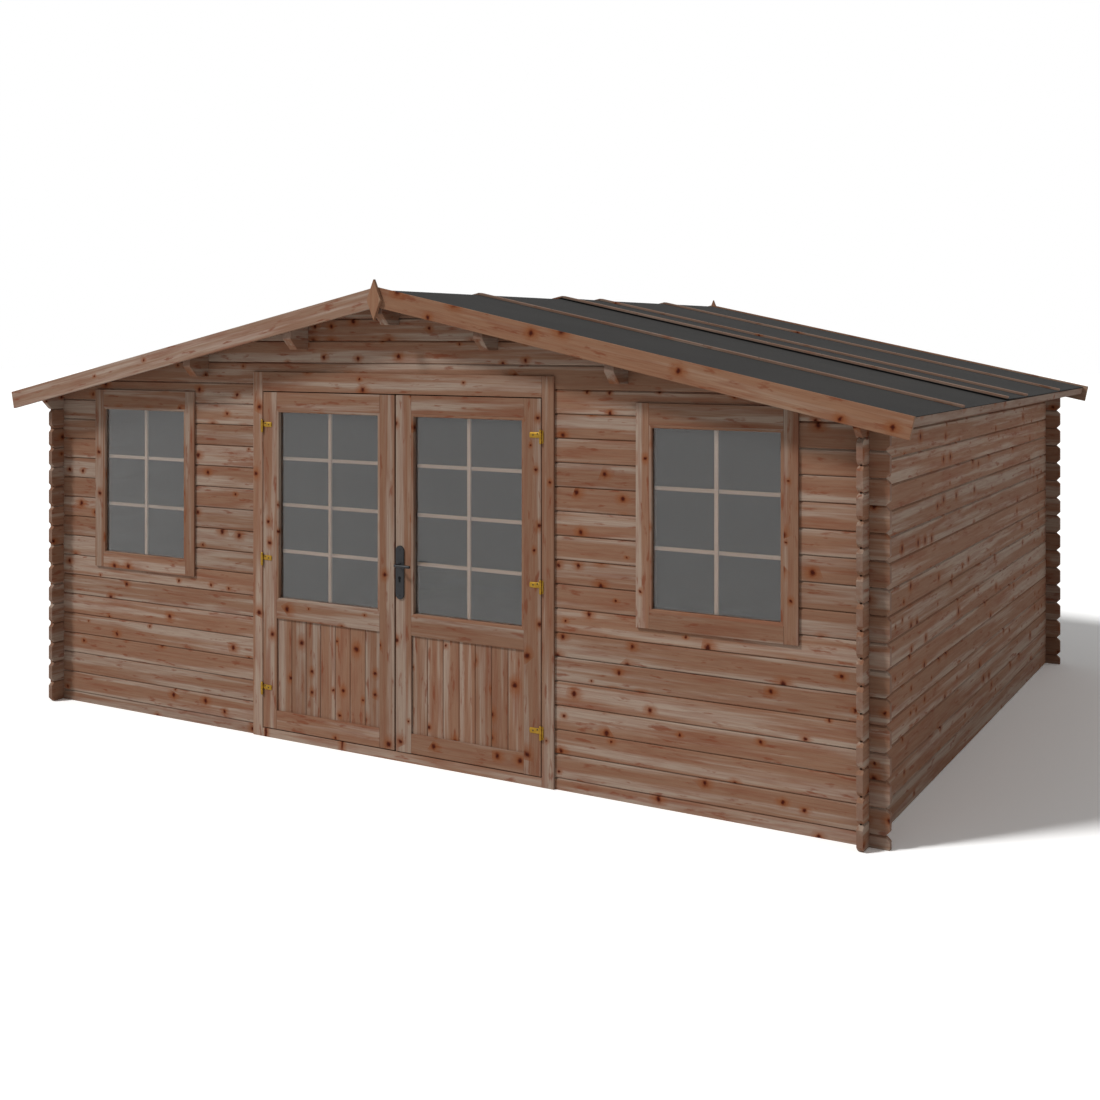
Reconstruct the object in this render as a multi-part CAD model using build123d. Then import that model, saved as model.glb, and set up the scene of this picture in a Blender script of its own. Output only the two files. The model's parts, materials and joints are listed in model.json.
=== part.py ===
from build123d import *
import math
import os

# Log cabin, all sizes in millimetres.
# Origin: middle of the footprint, on the ground. +X runs to the right along the front, +Y to the
# back and +Z up. The double door and the two windows are in the front wall, at -Y.

# Logs
LOG_HEIGHT = 113.0          # height that one course adds to a wall
LOG_THICKNESS = 28.0
LOG_BEVEL = 4.0             # bevel along a log's long edges, half of the groove at each joint
LOG_END = 86.0              # reach of the log ends past the crossing wall
END_BEVEL = 21.0            # bevel on the corners of a log's end
WALL_WIDTH = 4828.0         # over the outer faces of the side walls
WALL_DEPTH = 3828.0         # over the outer faces of the front and rear walls
SIDE_COURSES = 16           # whole logs in a side wall
PLATE_RISE = -2.0           # underside of the roof boards over the side walls' last full course

# Roof
PITCH = 12.0                # degrees
DECK_THICKNESS = 18.0       # roof boards
FELT_THICKNESS = 3.0
EAVE_REACH = 177.0          # roof boards past the side walls, level
GABLE_REACH = 140.0         # roof boards, purlins and top side logs past the front and rear walls
BARGE_THICKNESS = 19.0
BARGE_HEIGHT = 97.0         # square to the slope
BARGE_PROUD = 13.0          # barge board over the felt
BARGE_OVERHANG = 29.0       # barge board past the eave strip, down the slope
EAVE_STRIP_THICKNESS = 20.0
EAVE_STRIP_HEIGHT = 39.0
BATTEN_WIDTH = 38.0
BATTEN_THICKNESS = 12.0
BATTEN_SETBACK = 5.0        # from the lower edge of the felt
BATTEN_PLACES = (-1126.0, -200.0, 286.0, 1240.0)
PURLIN_WIDTH = 50.0
PURLIN_DEPTH = 151.0        # on the purlin's middle line
INNER_PURLIN_PLACE = 581.0
OUTER_PURLIN_PLACE = 1276.0
FINIAL_WIDTH = 84.0
FINIAL_HEIGHT = 203.0
FINIAL_THICKNESS = 19.0
FINIAL_RISE = 38.0          # its tip over the top of the barge boards

# Frames in the front wall
FRAME_PROUD = 12.0          # frames outside the face of the logs
FRAME_INNER = 16.0          # frames inside the room
DOOR_COURSES = 16           # courses beside the doorway, over the half log
DOOR_OPENING = 1800.0       # width cut out of the logs
DOOR_LAP = 20.0             # posts over the ends of the logs
DOOR_HEAD_LAP = 61.5        # head and posts over the log above the doorway
POST_WIDTH = 65.0
HEAD_HEIGHT = 101.0
SILL_HEIGHT = 45.0
WINDOW_TO_CORNER = 685.5    # middle of a window from the outer face of the side wall
WINDOW_FIRST_COURSE = 8
WINDOW_LAST_COURSE = 15
WINDOW_OPENING = 715.0      # width cut out of the logs
WINDOW_SIDE_LAP = 26.0
WINDOW_TOP_LAP = 60.5
WINDOW_BOTTOM_LAP = 47.5
WINDOW_STILE_WIDTH = 66.0
WINDOW_TOP_RAIL = 98.0
WINDOW_BOTTOM_RAIL = 76.0
WINDOW_GLASS_DEPTH = 16.0   # glass behind the frame's outer face
GLASS_THICKNESS = 4.0

# Door leaves
LEAF_GAP = 5.0              # round each leaf
MEETING_GAP = 10.0          # between the two leaves
MEETING_PLACE = 10.0        # middle of that gap, right of the middle of the wall
STILE_WIDTH = 92.0
TOP_RAIL = 92.0
MIDDLE_RAIL = 94.0
BOTTOM_RAIL = 97.0
PANEL_HEIGHT = 485.0
PANEL_THICKNESS = 18.0
PANEL_DEPTH = 9.0           # panel behind the leaf's outer face
DOOR_GLASS_DEPTH = 20.0     # glass behind the leaf's outer face

# Hinges
HINGE_HEIGHTS = (205.0, 888.0, 1591.0)   # middles, over the lower edge of the leaf
HINGE_LENGTH = 62.0
HINGE_RADIUS = 6.5
HINGE_STANDOFF = 0.5        # knuckles off the face of the leaves
PIN_RADIUS = 3.0
PIN_CLEARANCE = 0.3
KNUCKLE_GAP = 1.0
STRAP_HEIGHT = 26.0
STRAP_LENGTH = 62.0
STRAP_RISE = 8.0            # middle of the strap over the middle of the hinge
STRAP_THICKNESS = 4.0
HINGE_PLATE_WIDTH = 20.0

# Handle, on the right leaf
PLATE_WIDTH = 50.0
PLATE_LENGTH = 266.0
PLATE_THICKNESS = 7.0
PLATE_MARGIN = 2.0          # from the leaf's meeting edge
PLATE_HEIGHT = 940.0        # middle of the plate over the ground
LEVER_RISE = 40.0           # lever over the middle of the plate
LEVER_LENGTH = 97.0         # from the spindle to the lever's end
LEVER_RADIUS = 8.0
LEVER_REACH = 48.0          # middle of the lever off the plate
HUB_GAP = 1.0
SPINDLE_RADIUS = 4.0
SPINDLE_CLEARANCE = 1.0
KEYHOLE_DROP = 32.0         # keyhole under the middle of the plate
KEYHOLE_RADIUS = 5.0
KEY_SLOT_WIDTH = 5.0
KEY_SLOT_LENGTH = 16.0

# Values worked out from the driving sizes
HALF_WIDTH = WALL_WIDTH / 2
HALF_DEPTH = WALL_DEPTH / 2
NOTCH = LOG_HEIGHT / 4
LEAST_TOP_LOG = LOG_HEIGHT / 4
SLOPE = math.tan(math.radians(PITCH))
COS_PITCH = math.cos(math.radians(PITCH))
SIN_PITCH = math.sin(math.radians(PITCH))
PLATE_Z = SIDE_COURSES * LOG_HEIGHT + PLATE_RISE
APEX_Z = PLATE_Z + HALF_WIDTH * SLOPE
SLOPE_LENGTH = (HALF_WIDTH + EAVE_REACH) / COS_PITCH
STRIP_END = SLOPE_LENGTH + EAVE_STRIP_THICKNESS
FELT_TOP = DECK_THICKNESS + FELT_THICKNESS
BARGE_TOP = FELT_TOP + BARGE_PROUD
BARGE_APEX_Z = APEX_Z + BARGE_TOP / COS_PITCH
FRAME_DEPTH = FRAME_PROUD + LOG_THICKNESS + FRAME_INNER
FRAME_FACE = -HALF_DEPTH - FRAME_PROUD
FRAME_BACK = FRAME_FACE + FRAME_DEPTH
DOORWAY_TOP = (DOOR_COURSES + 0.5) * LOG_HEIGHT
DOOR_OUTER = DOOR_OPENING / 2 + DOOR_LAP
DOOR_INNER = DOOR_OUTER - POST_WIDTH
POST_TOP = DOORWAY_TOP + DOOR_HEAD_LAP
HEAD_BOTTOM = POST_TOP - HEAD_HEIGHT
LEAF_BOTTOM = SILL_HEIGHT + LEAF_GAP
LEAF_TOP = HEAD_BOTTOM - LEAF_GAP
PANEL_BOTTOM = LEAF_BOTTOM + BOTTOM_RAIL
PANEL_TOP = PANEL_BOTTOM + PANEL_HEIGHT
DOOR_GLASS_BOTTOM = PANEL_TOP + MIDDLE_RAIL
DOOR_GLASS_TOP = LEAF_TOP - TOP_RAIL
WINDOW_PLACE = HALF_WIDTH - WINDOW_TO_CORNER
WINDOW_HOLE_BOTTOM = (WINDOW_FIRST_COURSE - 0.5) * LOG_HEIGHT
WINDOW_HOLE_TOP = (WINDOW_LAST_COURSE + 0.5) * LOG_HEIGHT
WINDOW_BOTTOM = WINDOW_HOLE_BOTTOM - WINDOW_BOTTOM_LAP
WINDOW_TOP = WINDOW_HOLE_TOP + WINDOW_TOP_LAP
WINDOW_OUTER = WINDOW_OPENING / 2 + WINDOW_SIDE_LAP
WINDOW_INNER = WINDOW_OUTER - WINDOW_STILE_WIDTH
HINGE_PLACE = DOOR_INNER - LEAF_GAP / 2
HINGE_FACE = FRAME_FACE - HINGE_RADIUS - HINGE_STANDOFF
LEAF_OUTER = DOOR_INNER - LEAF_GAP
HANDLE_PLACE = MEETING_PLACE + MEETING_GAP / 2 + PLATE_MARGIN + PLATE_WIDTH / 2


def box(x0, x1, y0, y1, z0, z1):
    """A block between two corners."""
    size_x, size_y, size_z = abs(x1 - x0), abs(y1 - y0), abs(z1 - z0)
    middle = ((x0 + x1) / 2, (y0 + y1) / 2, (z0 + z1) / 2)
    return Pos(*middle) * Box(size_x, size_y, size_z)


def prism(points, along, low, high):
    """A straight bar with the given outline, from low to high along X, Y or Z.

    The outline's points are (y, z) for X, (x, z) for Y and (x, y) for Z."""
    place = {
        "X": lambda a, b: (low, a, b),
        "Y": lambda a, b: (a, low, b),
        "Z": lambda a, b: (a, b, low),
    }[along]
    direction = {"X": (1, 0, 0), "Y": (0, 1, 0), "Z": (0, 0, 1)}[along]
    outline = [Vector(*place(a, b)) for a, b in points]
    face = Face(Wire.make_polygon(outline, close=True))
    return Solid.extrude(face, Vector(*direction) * (high - low))


def rod(x, y, z, radius, length, axis):
    """A round bar that starts at a point and runs along axis."""
    plane = Plane(origin=(x, y, z), z_dir=axis)
    return plane * Cylinder(radius, length, align=(Align.CENTER, Align.CENTER, Align.MIN))


def solids_of(shape):
    """The separate solids in the result of a cut."""
    return [s for s in shape.solids() if s.volume > 1.0]


def save(name, pieces):
    """Write one node from its separate solids."""
    solids = []
    for piece in pieces:
        solids.extend(solids_of(piece))
    shape = solids[0] if len(solids) == 1 else Compound(children=solids)
    export_step(shape, f"parts/{name}.step")


# Roof planes

def under_roof(x):
    """Height of the underside of the roof boards at x."""
    return APEX_Z - abs(x) * SLOPE


def slope_point(side, along, out):
    """A point on one slope, by its distance down from the ridge and out from the boards' underside."""
    x = along * COS_PITCH + out * SIN_PITCH
    return (side * x, APEX_Z - along * SIN_PITCH + out * COS_PITCH)


def slope_outline(side, start, end, low, high):
    """Outline of a layer of one slope. A start of None is the plumb cut at the ridge."""
    if start is None:
        first = -low * SLOPE
        last = -high * SLOPE
    else:
        first = start
        last = start
    return [
        slope_point(side, first, low),
        slope_point(side, end, low),
        slope_point(side, end, high),
        slope_point(side, last, high),
    ]


def above_roof():
    """Everything over the underside of the roof boards, to cut the wall logs with."""
    reach = HALF_WIDTH + EAVE_REACH
    top = APEX_Z + LOG_HEIGHT
    low = under_roof(reach)
    outline = [(-reach, low), (0, APEX_Z), (reach, low), (reach, top), (-reach, top)]
    depth = HALF_DEPTH + GABLE_REACH
    return prism(outline, "Y", -depth, depth)


# Logs

def log_section(z0, z1, y0, bevel_bottom=True):
    """Section of a log as (across, up), with its long edges bevelled."""
    y1 = y0 + LOG_THICKNESS
    low = LOG_BEVEL if bevel_bottom else 0.0
    points = [(y0 + low, z0), (y1 - low, z0)]
    if bevel_bottom:
        points.append((y1, z0 + LOG_BEVEL))
    points += [(y1, z1 - LOG_BEVEL), (y1 - LOG_BEVEL, z1), (y0 + LOG_BEVEL, z1), (y0, z1 - LOG_BEVEL)]
    if bevel_bottom:
        points.append((y0, z0 + LOG_BEVEL))
    return points


def crossing(at, below, above, z0, z1):
    """Corners of a log's side view where it passes a crossing wall, at one end and on both edges.

    at is the outer face of the crossing wall. Returns the lower and the upper points, outwards."""
    inner = at - LOG_THICKNESS
    low = [(inner, z0), (inner, z0 + NOTCH), (at, z0 + NOTCH), (at, z0)] if below else []
    high = [(inner, z1), (inner, z1 - NOTCH), (at, z1 - NOTCH), (at, z1)] if above else []
    return low, high


def log_end(at, z0, z1, bevel_bottom):
    """Corners of a bevelled log end that stands past the crossing wall, upwards."""
    tip = at + LOG_END
    low = [(tip - END_BEVEL, z0), (tip, z0 + END_BEVEL)] if bevel_bottom else [(tip, z0)]
    return low + [(tip, z1 - END_BEVEL), (tip - END_BEVEL, z1)]


def half_outline(at, stop, z0, z1, below, above):
    """Side view of a log from stop out to its end, for the positive side of a wall."""
    low, high = crossing(at, below, above, z0, z1)
    return [(stop, z0)] + low + log_end(at, z0, z1, z0 > 0 or below) + high[::-1] + [(stop, z1)]


def mirrored(points):
    """The same outline on the negative side."""
    return [(-a, b) for a, b in points][::-1]


def gable_wall(outer_y, inward, holes, purlins, roof):
    """Front or rear wall: the odd and the even courses, each as a list of logs.

    holes are (x0, x1, first course, last course) of the doorway and the windows."""
    y0 = min(outer_y, outer_y + inward * LOG_THICKNESS)
    top_course = int((APEX_Z / LOG_HEIGHT) + 0.5)
    if APEX_Z - (top_course - 0.5) * LOG_HEIGHT < LEAST_TOP_LOG:
        top_course -= 1
    courses = {0: [], 1: []}
    for course in range(top_course + 1):
        z0 = max(0.0, (course - 0.5) * LOG_HEIGHT)
        z1 = (course + 0.5) * LOG_HEIGHT
        if course == top_course:
            z1 = APEX_Z + LOG_BEVEL
        laps = course <= SIDE_COURSES
        stretches = [(0.0, None)]
        for x0, x1, first, last in holes:
            if first <= course <= last:
                start, _ = stretches.pop()
                stretches += [(start, x0), (x1, None)]
        logs = []
        for start, end in stretches:
            if end == start:
                continue
            if end is not None:
                piece = [(start, z0), (end, z0), (end, z1), (start, z1)]
            elif laps:
                piece = half_outline(HALF_WIDTH, start, z0, z1, course > 0, course < SIDE_COURSES)
            else:
                piece = [(start, z0), (HALF_WIDTH, z0), (HALF_WIDTH, z1), (start, z1)]
            if start > 0:
                logs += [piece, mirrored(piece)]
            else:
                logs.append(mirrored(piece)[:-1] + piece[1:])
        reach = HALF_WIDTH + LOG_END
        section = prism(log_section(z0, z1, y0, course > 0), "X", -reach, reach)
        for outline in logs:
            log = prism(outline, "Y", y0, y0 + LOG_THICKNESS) & section
            if z1 > under_roof(reach):
                log = log - roof
            for low_z, purlin in purlins:
                if z1 > low_z:
                    log = log - purlin
            courses[course % 2] += solids_of(log)
    return courses


def side_wall(side, roof):
    """Left or right wall: the odd and the even courses, each as a list of logs."""
    x0 = side * HALF_WIDTH if side < 0 else HALF_WIDTH - LOG_THICKNESS
    reach = HALF_DEPTH + GABLE_REACH
    courses = {0: [], 1: []}
    for course in range(SIDE_COURSES):
        z0 = course * LOG_HEIGHT
        z1 = z0 + LOG_HEIGHT
        is_top = course == SIDE_COURSES - 1
        if is_top:
            low, high = crossing(HALF_DEPTH, True, True, z0, z1)
            z1 = under_roof(HALF_WIDTH - LOG_THICKNESS) + LOG_BEVEL
            half = [(0, z0)] + low + bracket_end(z0, z1)
            half += [(HALF_DEPTH, z1), (HALF_DEPTH, high[1][1]), high[1], (high[0][0], z1), (0, z1)]
        else:
            half = half_outline(HALF_DEPTH, 0.0, z0, z1, True, True)
        outline = mirrored(half)[1:-1] + half[1:-1]
        section = prism(log_section(z0, z1, x0), "Y", -reach, reach)
        log = prism(outline, "X", x0, x0 + LOG_THICKNESS) & section
        if is_top:
            log = log - roof
        courses[course % 2] += solids_of(log)
    return courses


def bracket_end(z0, z1):
    """Corners of the sloping end of a top side log or purlin, which runs out to the barge board."""
    start = HALF_DEPTH + LOG_END
    end = HALF_DEPTH + GABLE_REACH
    return [(start, z0), (end, z0 + end - start), (end, z1)]


# Roof pieces

def purlin(place):
    """A purlin under the roof boards, with its top cut to the slopes."""
    low = under_roof(place) - PURLIN_DEPTH
    left = place - PURLIN_WIDTH / 2
    right = place + PURLIN_WIDTH / 2
    top = [(right, under_roof(right))]
    if left < 0 < right:
        top.append((0, APEX_Z))
    top.append((left, under_roof(left)))
    reach = HALF_DEPTH + GABLE_REACH
    high = APEX_Z + PURLIN_WIDTH
    half = bracket_end(low, high)
    side_view = prism(mirrored(half) + half, "X", left, right)
    section = prism([(left, low), (right, low)] + top, "Y", -reach, reach)
    return low, section & side_view


def barge_board(side, front):
    """One barge board, with a plumb cut at the ridge."""
    back = HALF_DEPTH + GABLE_REACH
    end = STRIP_END + BARGE_OVERHANG
    outline = slope_outline(side, None, end, BARGE_TOP - BARGE_HEIGHT, BARGE_TOP)
    return prism(outline, "Y", front * back, front * (back + BARGE_THICKNESS))


def finial(front):
    """The diamond over the joint of two barge boards."""
    tip = BARGE_APEX_Z + FINIAL_RISE
    middle = tip - FINIAL_HEIGHT / 2
    outline = [(0, tip - FINIAL_HEIGHT), (FINIAL_WIDTH / 2, middle), (0, tip), (-FINIAL_WIDTH / 2, middle)]
    back = HALF_DEPTH + GABLE_REACH + BARGE_THICKNESS
    return prism(outline, "Y", front * back, front * (back + FINIAL_THICKNESS))


def roof_side(side):
    """Boards, felt, battens and eave strip of one slope."""
    reach = HALF_DEPTH + GABLE_REACH
    deck = prism(slope_outline(side, None, SLOPE_LENGTH, 0, DECK_THICKNESS), "Y", -reach, reach)
    felt = prism(slope_outline(side, None, STRIP_END, DECK_THICKNESS, FELT_TOP), "Y", -reach, reach)
    strip_low = DECK_THICKNESS - EAVE_STRIP_HEIGHT
    strip_outline = slope_outline(side, SLOPE_LENGTH, STRIP_END, strip_low, DECK_THICKNESS)
    strip = prism(strip_outline, "Y", -reach, reach)
    batten_outline = slope_outline(
        side, None, STRIP_END - BATTEN_SETBACK, FELT_TOP, FELT_TOP + BATTEN_THICKNESS
    )
    battens = [
        prism(batten_outline, "Y", place - BATTEN_WIDTH / 2, place + BATTEN_WIDTH / 2)
        for place in BATTEN_PLACES
    ]
    return deck, felt, strip, battens


# Frames

def in_wall(z0, z1, x0, x1):
    """The slot that a frame leaves for the logs."""
    return box(x0, x1, -HALF_DEPTH, -HALF_DEPTH + LOG_THICKNESS, z0, z1)


def door_frame():
    """The two posts, the head and the sill."""
    posts = []
    for side in (-1, 1):
        post = box(side * DOOR_INNER, side * DOOR_OUTER, FRAME_FACE, FRAME_BACK, 0, POST_TOP)
        post = post - in_wall(0, POST_TOP, side * DOOR_OPENING / 2, side * DOOR_OUTER)
        post = post - in_wall(DOORWAY_TOP, POST_TOP, side * DOOR_INNER, side * DOOR_OUTER)
        posts.append(post)
    head = box(-DOOR_INNER, DOOR_INNER, FRAME_FACE, FRAME_BACK, HEAD_BOTTOM, POST_TOP)
    head = head - in_wall(DOORWAY_TOP, POST_TOP, -DOOR_INNER, DOOR_INNER)
    sill = box(-DOOR_INNER, DOOR_INNER, FRAME_FACE, FRAME_BACK, 0, SILL_HEIGHT)
    return posts, head, sill


def window(side):
    """The stiles, the rails and the pane of one window."""
    middle = side * WINDOW_PLACE
    hole = WINDOW_OPENING / 2
    stiles = []
    for hand in (-1, 1):
        inner = middle + hand * WINDOW_INNER
        outer = middle + hand * WINDOW_OUTER
        stile = box(inner, outer, FRAME_FACE, FRAME_BACK, WINDOW_BOTTOM, WINDOW_TOP)
        stile = stile - in_wall(WINDOW_BOTTOM, WINDOW_TOP, middle + hand * hole, outer)
        stile = stile - in_wall(WINDOW_BOTTOM, WINDOW_HOLE_BOTTOM, inner, outer)
        stile = stile - in_wall(WINDOW_HOLE_TOP, WINDOW_TOP, inner, outer)
        stiles.append(stile)
    x0 = middle - WINDOW_INNER
    x1 = middle + WINDOW_INNER
    glass_bottom = WINDOW_BOTTOM + WINDOW_BOTTOM_RAIL
    glass_top = WINDOW_TOP - WINDOW_TOP_RAIL
    lower = box(x0, x1, FRAME_FACE, FRAME_BACK, WINDOW_BOTTOM, glass_bottom)
    lower = lower - in_wall(WINDOW_BOTTOM, WINDOW_HOLE_BOTTOM, x0, x1)
    upper = box(x0, x1, FRAME_FACE, FRAME_BACK, glass_top, WINDOW_TOP)
    upper = upper - in_wall(WINDOW_HOLE_TOP, WINDOW_TOP, x0, x1)
    glass_y = FRAME_FACE + WINDOW_GLASS_DEPTH
    pane = box(x0, x1, glass_y, glass_y + GLASS_THICKNESS, glass_bottom, glass_top)
    return stiles, [lower, upper], pane


# Door leaves

def leaf(side):
    """The stiles, the rails, the panel and the pane of one leaf."""
    outer = side * LEAF_OUTER
    meeting = MEETING_PLACE + side * MEETING_GAP / 2
    outer_inside = outer - side * STILE_WIDTH
    meeting_inside = meeting + side * STILE_WIDTH
    stiles = [
        box(outer, outer_inside, FRAME_FACE, FRAME_BACK, LEAF_BOTTOM, LEAF_TOP),
        box(meeting, meeting_inside, FRAME_FACE, FRAME_BACK, LEAF_BOTTOM, LEAF_TOP),
    ]
    if side > 0:
        lever_z = PLATE_HEIGHT + LEVER_RISE
        hole_radius = SPINDLE_RADIUS + SPINDLE_CLEARANCE
        hole = rod(HANDLE_PLACE, FRAME_FACE, lever_z, hole_radius, FRAME_DEPTH, (0, 1, 0))
        stiles[1] = stiles[1] - hole
    rails = [
        box(outer_inside, meeting_inside, FRAME_FACE, FRAME_BACK, z0, z1)
        for z0, z1 in (
            (LEAF_BOTTOM, PANEL_BOTTOM),
            (PANEL_TOP, DOOR_GLASS_BOTTOM),
            (DOOR_GLASS_TOP, LEAF_TOP),
        )
    ]
    panel_y = FRAME_FACE + PANEL_DEPTH
    panel = box(
        outer_inside, meeting_inside, panel_y, panel_y + PANEL_THICKNESS, PANEL_BOTTOM, PANEL_TOP
    )
    glass_y = FRAME_FACE + DOOR_GLASS_DEPTH
    pane = box(
        outer_inside, meeting_inside, glass_y, glass_y + GLASS_THICKNESS, DOOR_GLASS_BOTTOM, DOOR_GLASS_TOP
    )
    return stiles, rails, panel, pane


def hinge(side, height):
    """One hinge: the pin and plate on the post, and the knuckle and strap on the leaf."""
    x = side * HINGE_PLACE
    low = height - HINGE_LENGTH / 2
    high = height + HINGE_LENGTH / 2
    knuckle_low = height + STRAP_RISE - STRAP_HEIGHT / 2
    knuckle_high = knuckle_low + STRAP_HEIGHT
    up = (0, 0, 1)
    plate_edge = x + side * (HINGE_RADIUS + KNUCKLE_GAP)
    plate_end = plate_edge + side * HINGE_PLATE_WIDTH
    fixed = box(plate_edge, plate_end, FRAME_FACE - STRAP_THICKNESS, FRAME_FACE, low, high)
    for z0, z1 in ((low, knuckle_low - KNUCKLE_GAP), (knuckle_high + KNUCKLE_GAP, high)):
        fixed = fixed + rod(x, HINGE_FACE, z0, HINGE_RADIUS, z1 - z0, up)
        fixed = fixed + box(x, plate_edge, FRAME_FACE - STRAP_THICKNESS, FRAME_FACE, z0, z1)
    fixed = fixed + rod(x, HINGE_FACE, low, PIN_RADIUS, HINGE_LENGTH, up)
    strap_end = x - side * (STRAP_LENGTH - STRAP_HEIGHT / 2)
    strap_y = FRAME_FACE - STRAP_THICKNESS
    moving = rod(x, HINGE_FACE, knuckle_low, HINGE_RADIUS, STRAP_HEIGHT, up)
    moving = moving + box(x, strap_end, strap_y, FRAME_FACE, knuckle_low, knuckle_high)
    end_z = knuckle_low + STRAP_HEIGHT / 2
    moving = moving + rod(strap_end, strap_y, end_z, STRAP_HEIGHT / 2, STRAP_THICKNESS, (0, 1, 0))
    moving = moving - rod(x, HINGE_FACE, knuckle_low, PIN_RADIUS + PIN_CLEARANCE, STRAP_HEIGHT, up)
    return fixed, moving


def handle_plate(y0):
    """One long plate with round ends, a hole for the spindle and a keyhole."""
    end = PLATE_LENGTH / 2 - PLATE_WIDTH / 2
    half = PLATE_WIDTH / 2
    y1 = y0 + PLATE_THICKNESS
    x = HANDLE_PLACE
    along = (0, 1, 0)
    plate = box(x - half, x + half, y0, y1, PLATE_HEIGHT - end, PLATE_HEIGHT + end)
    for z in (PLATE_HEIGHT - end, PLATE_HEIGHT + end):
        plate = plate + rod(x, y0, z, half, PLATE_THICKNESS, along)
    spindle_hole = SPINDLE_RADIUS + SPINDLE_CLEARANCE
    plate = plate - rod(x, y0, PLATE_HEIGHT + LEVER_RISE, spindle_hole, PLATE_THICKNESS, along)
    key_z = PLATE_HEIGHT - KEYHOLE_DROP
    plate = plate - rod(x, y0, key_z, KEYHOLE_RADIUS, PLATE_THICKNESS, along)
    slot = KEY_SLOT_WIDTH / 2
    return plate - box(x - slot, x + slot, y0, y1, key_z - KEY_SLOT_LENGTH, key_z)


def lever():
    """The two levers and the spindle that joins them through the leaf."""
    x = HANDLE_PLACE
    z = PLATE_HEIGHT + LEVER_RISE
    outside = FRAME_FACE - PLATE_THICKNESS
    inside = FRAME_BACK + PLATE_THICKNESS
    shape = rod(x, outside - LEVER_REACH, z, SPINDLE_RADIUS, inside - outside + 2 * LEVER_REACH, (0, 1, 0))
    for face, out in ((outside, -1), (inside, 1)):
        start = face + out * HUB_GAP
        hub_length = LEVER_REACH - HUB_GAP
        shape = shape + rod(x, start, z, LEVER_RADIUS, hub_length, (0, out, 0))
        bar_y = face + out * LEVER_REACH
        shape = shape + rod(x, bar_y, z, LEVER_RADIUS, LEVER_LENGTH - LEVER_RADIUS, (1, 0, 0))
        shape = shape + Pos(x + LEVER_LENGTH - LEVER_RADIUS, bar_y, z) * Sphere(LEVER_RADIUS)
        shape = shape + Pos(x, bar_y, z) * Sphere(LEVER_RADIUS)
    return shape


def build():
    """Make every node and write it."""
    os.makedirs("parts", exist_ok=True)
    roof = above_roof()
    left_purlins = [purlin(-INNER_PURLIN_PLACE), purlin(-OUTER_PURLIN_PLACE)]
    right_purlins = [purlin(INNER_PURLIN_PLACE), purlin(OUTER_PURLIN_PLACE)]
    ridge = purlin(0.0)
    purlins = left_purlins + right_purlins + [ridge]
    holes = [
        (0.0, DOOR_OPENING / 2, 0, DOOR_COURSES),
        (
            WINDOW_PLACE - WINDOW_OPENING / 2,
            WINDOW_PLACE + WINDOW_OPENING / 2,
            WINDOW_FIRST_COURSE,
            WINDOW_LAST_COURSE,
        ),
    ]
    walls = {
        "front_wall": gable_wall(-HALF_DEPTH, 1, holes, purlins, roof),
        "rear_wall": gable_wall(HALF_DEPTH, -1, [], purlins, roof),
        "left_wall": side_wall(-1, roof),
        "right_wall": side_wall(1, roof),
    }
    for name, courses in walls.items():
        save(f"{name}_even_logs", courses[0])
        save(f"{name}_odd_logs", courses[1])
    save("ridge_purlin", [ridge[1]])
    save("left_purlins", [piece for _, piece in left_purlins])
    save("right_purlins", [piece for _, piece in right_purlins])
    strips = []
    for name, side in (("left", -1), ("right", 1)):
        deck, felt, strip, battens = roof_side(side)
        save(f"{name}_roof_boards", [deck])
        save(f"{name}_roof_felt", [felt])
        save(f"{name}_roof_battens", battens)
        strips.append(strip)
        save(f"front_{name}_barge_board", [barge_board(side, -1)])
        save(f"rear_{name}_barge_board", [barge_board(side, 1)])
    save("eave_strips", strips)
    save("finials", [finial(-1), finial(1)])
    posts, head, sill = door_frame()
    save("door_posts", posts)
    save("door_head", [head])
    save("door_sill", [sill])
    fixed_hinges = []
    for name, side in (("left", -1), ("right", 1)):
        stiles, rails, pane = window(side)
        save(f"{name}_window_stiles", stiles)
        save(f"{name}_window_rails", rails)
        save(f"{name}_window_glass", [pane])
        stiles, rails, panel, pane = leaf(side)
        save(f"{name}_leaf_stiles", stiles)
        save(f"{name}_leaf_rails", rails)
        save(f"{name}_leaf_panel", [panel])
        save(f"{name}_leaf_glass", [pane])
        straps = []
        for height in HINGE_HEIGHTS:
            fixed, moving = hinge(side, LEAF_BOTTOM + height)
            fixed_hinges.append(fixed)
            straps.append(moving)
        save(f"{name}_leaf_hinges", straps)
    save("post_hinges", fixed_hinges)
    save("handle_plates", [handle_plate(FRAME_FACE - PLATE_THICKNESS), handle_plate(FRAME_BACK)])
    save("door_lever", [lever()])


build()
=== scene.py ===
import json
import logging
import math
import random
from dataclasses import dataclass, field
from enum import Enum
from typing import Any, Iterable, Optional, Sequence

import bmesh
import bpy
import numpy as np
from mathutils import Matrix, Vector

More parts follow.
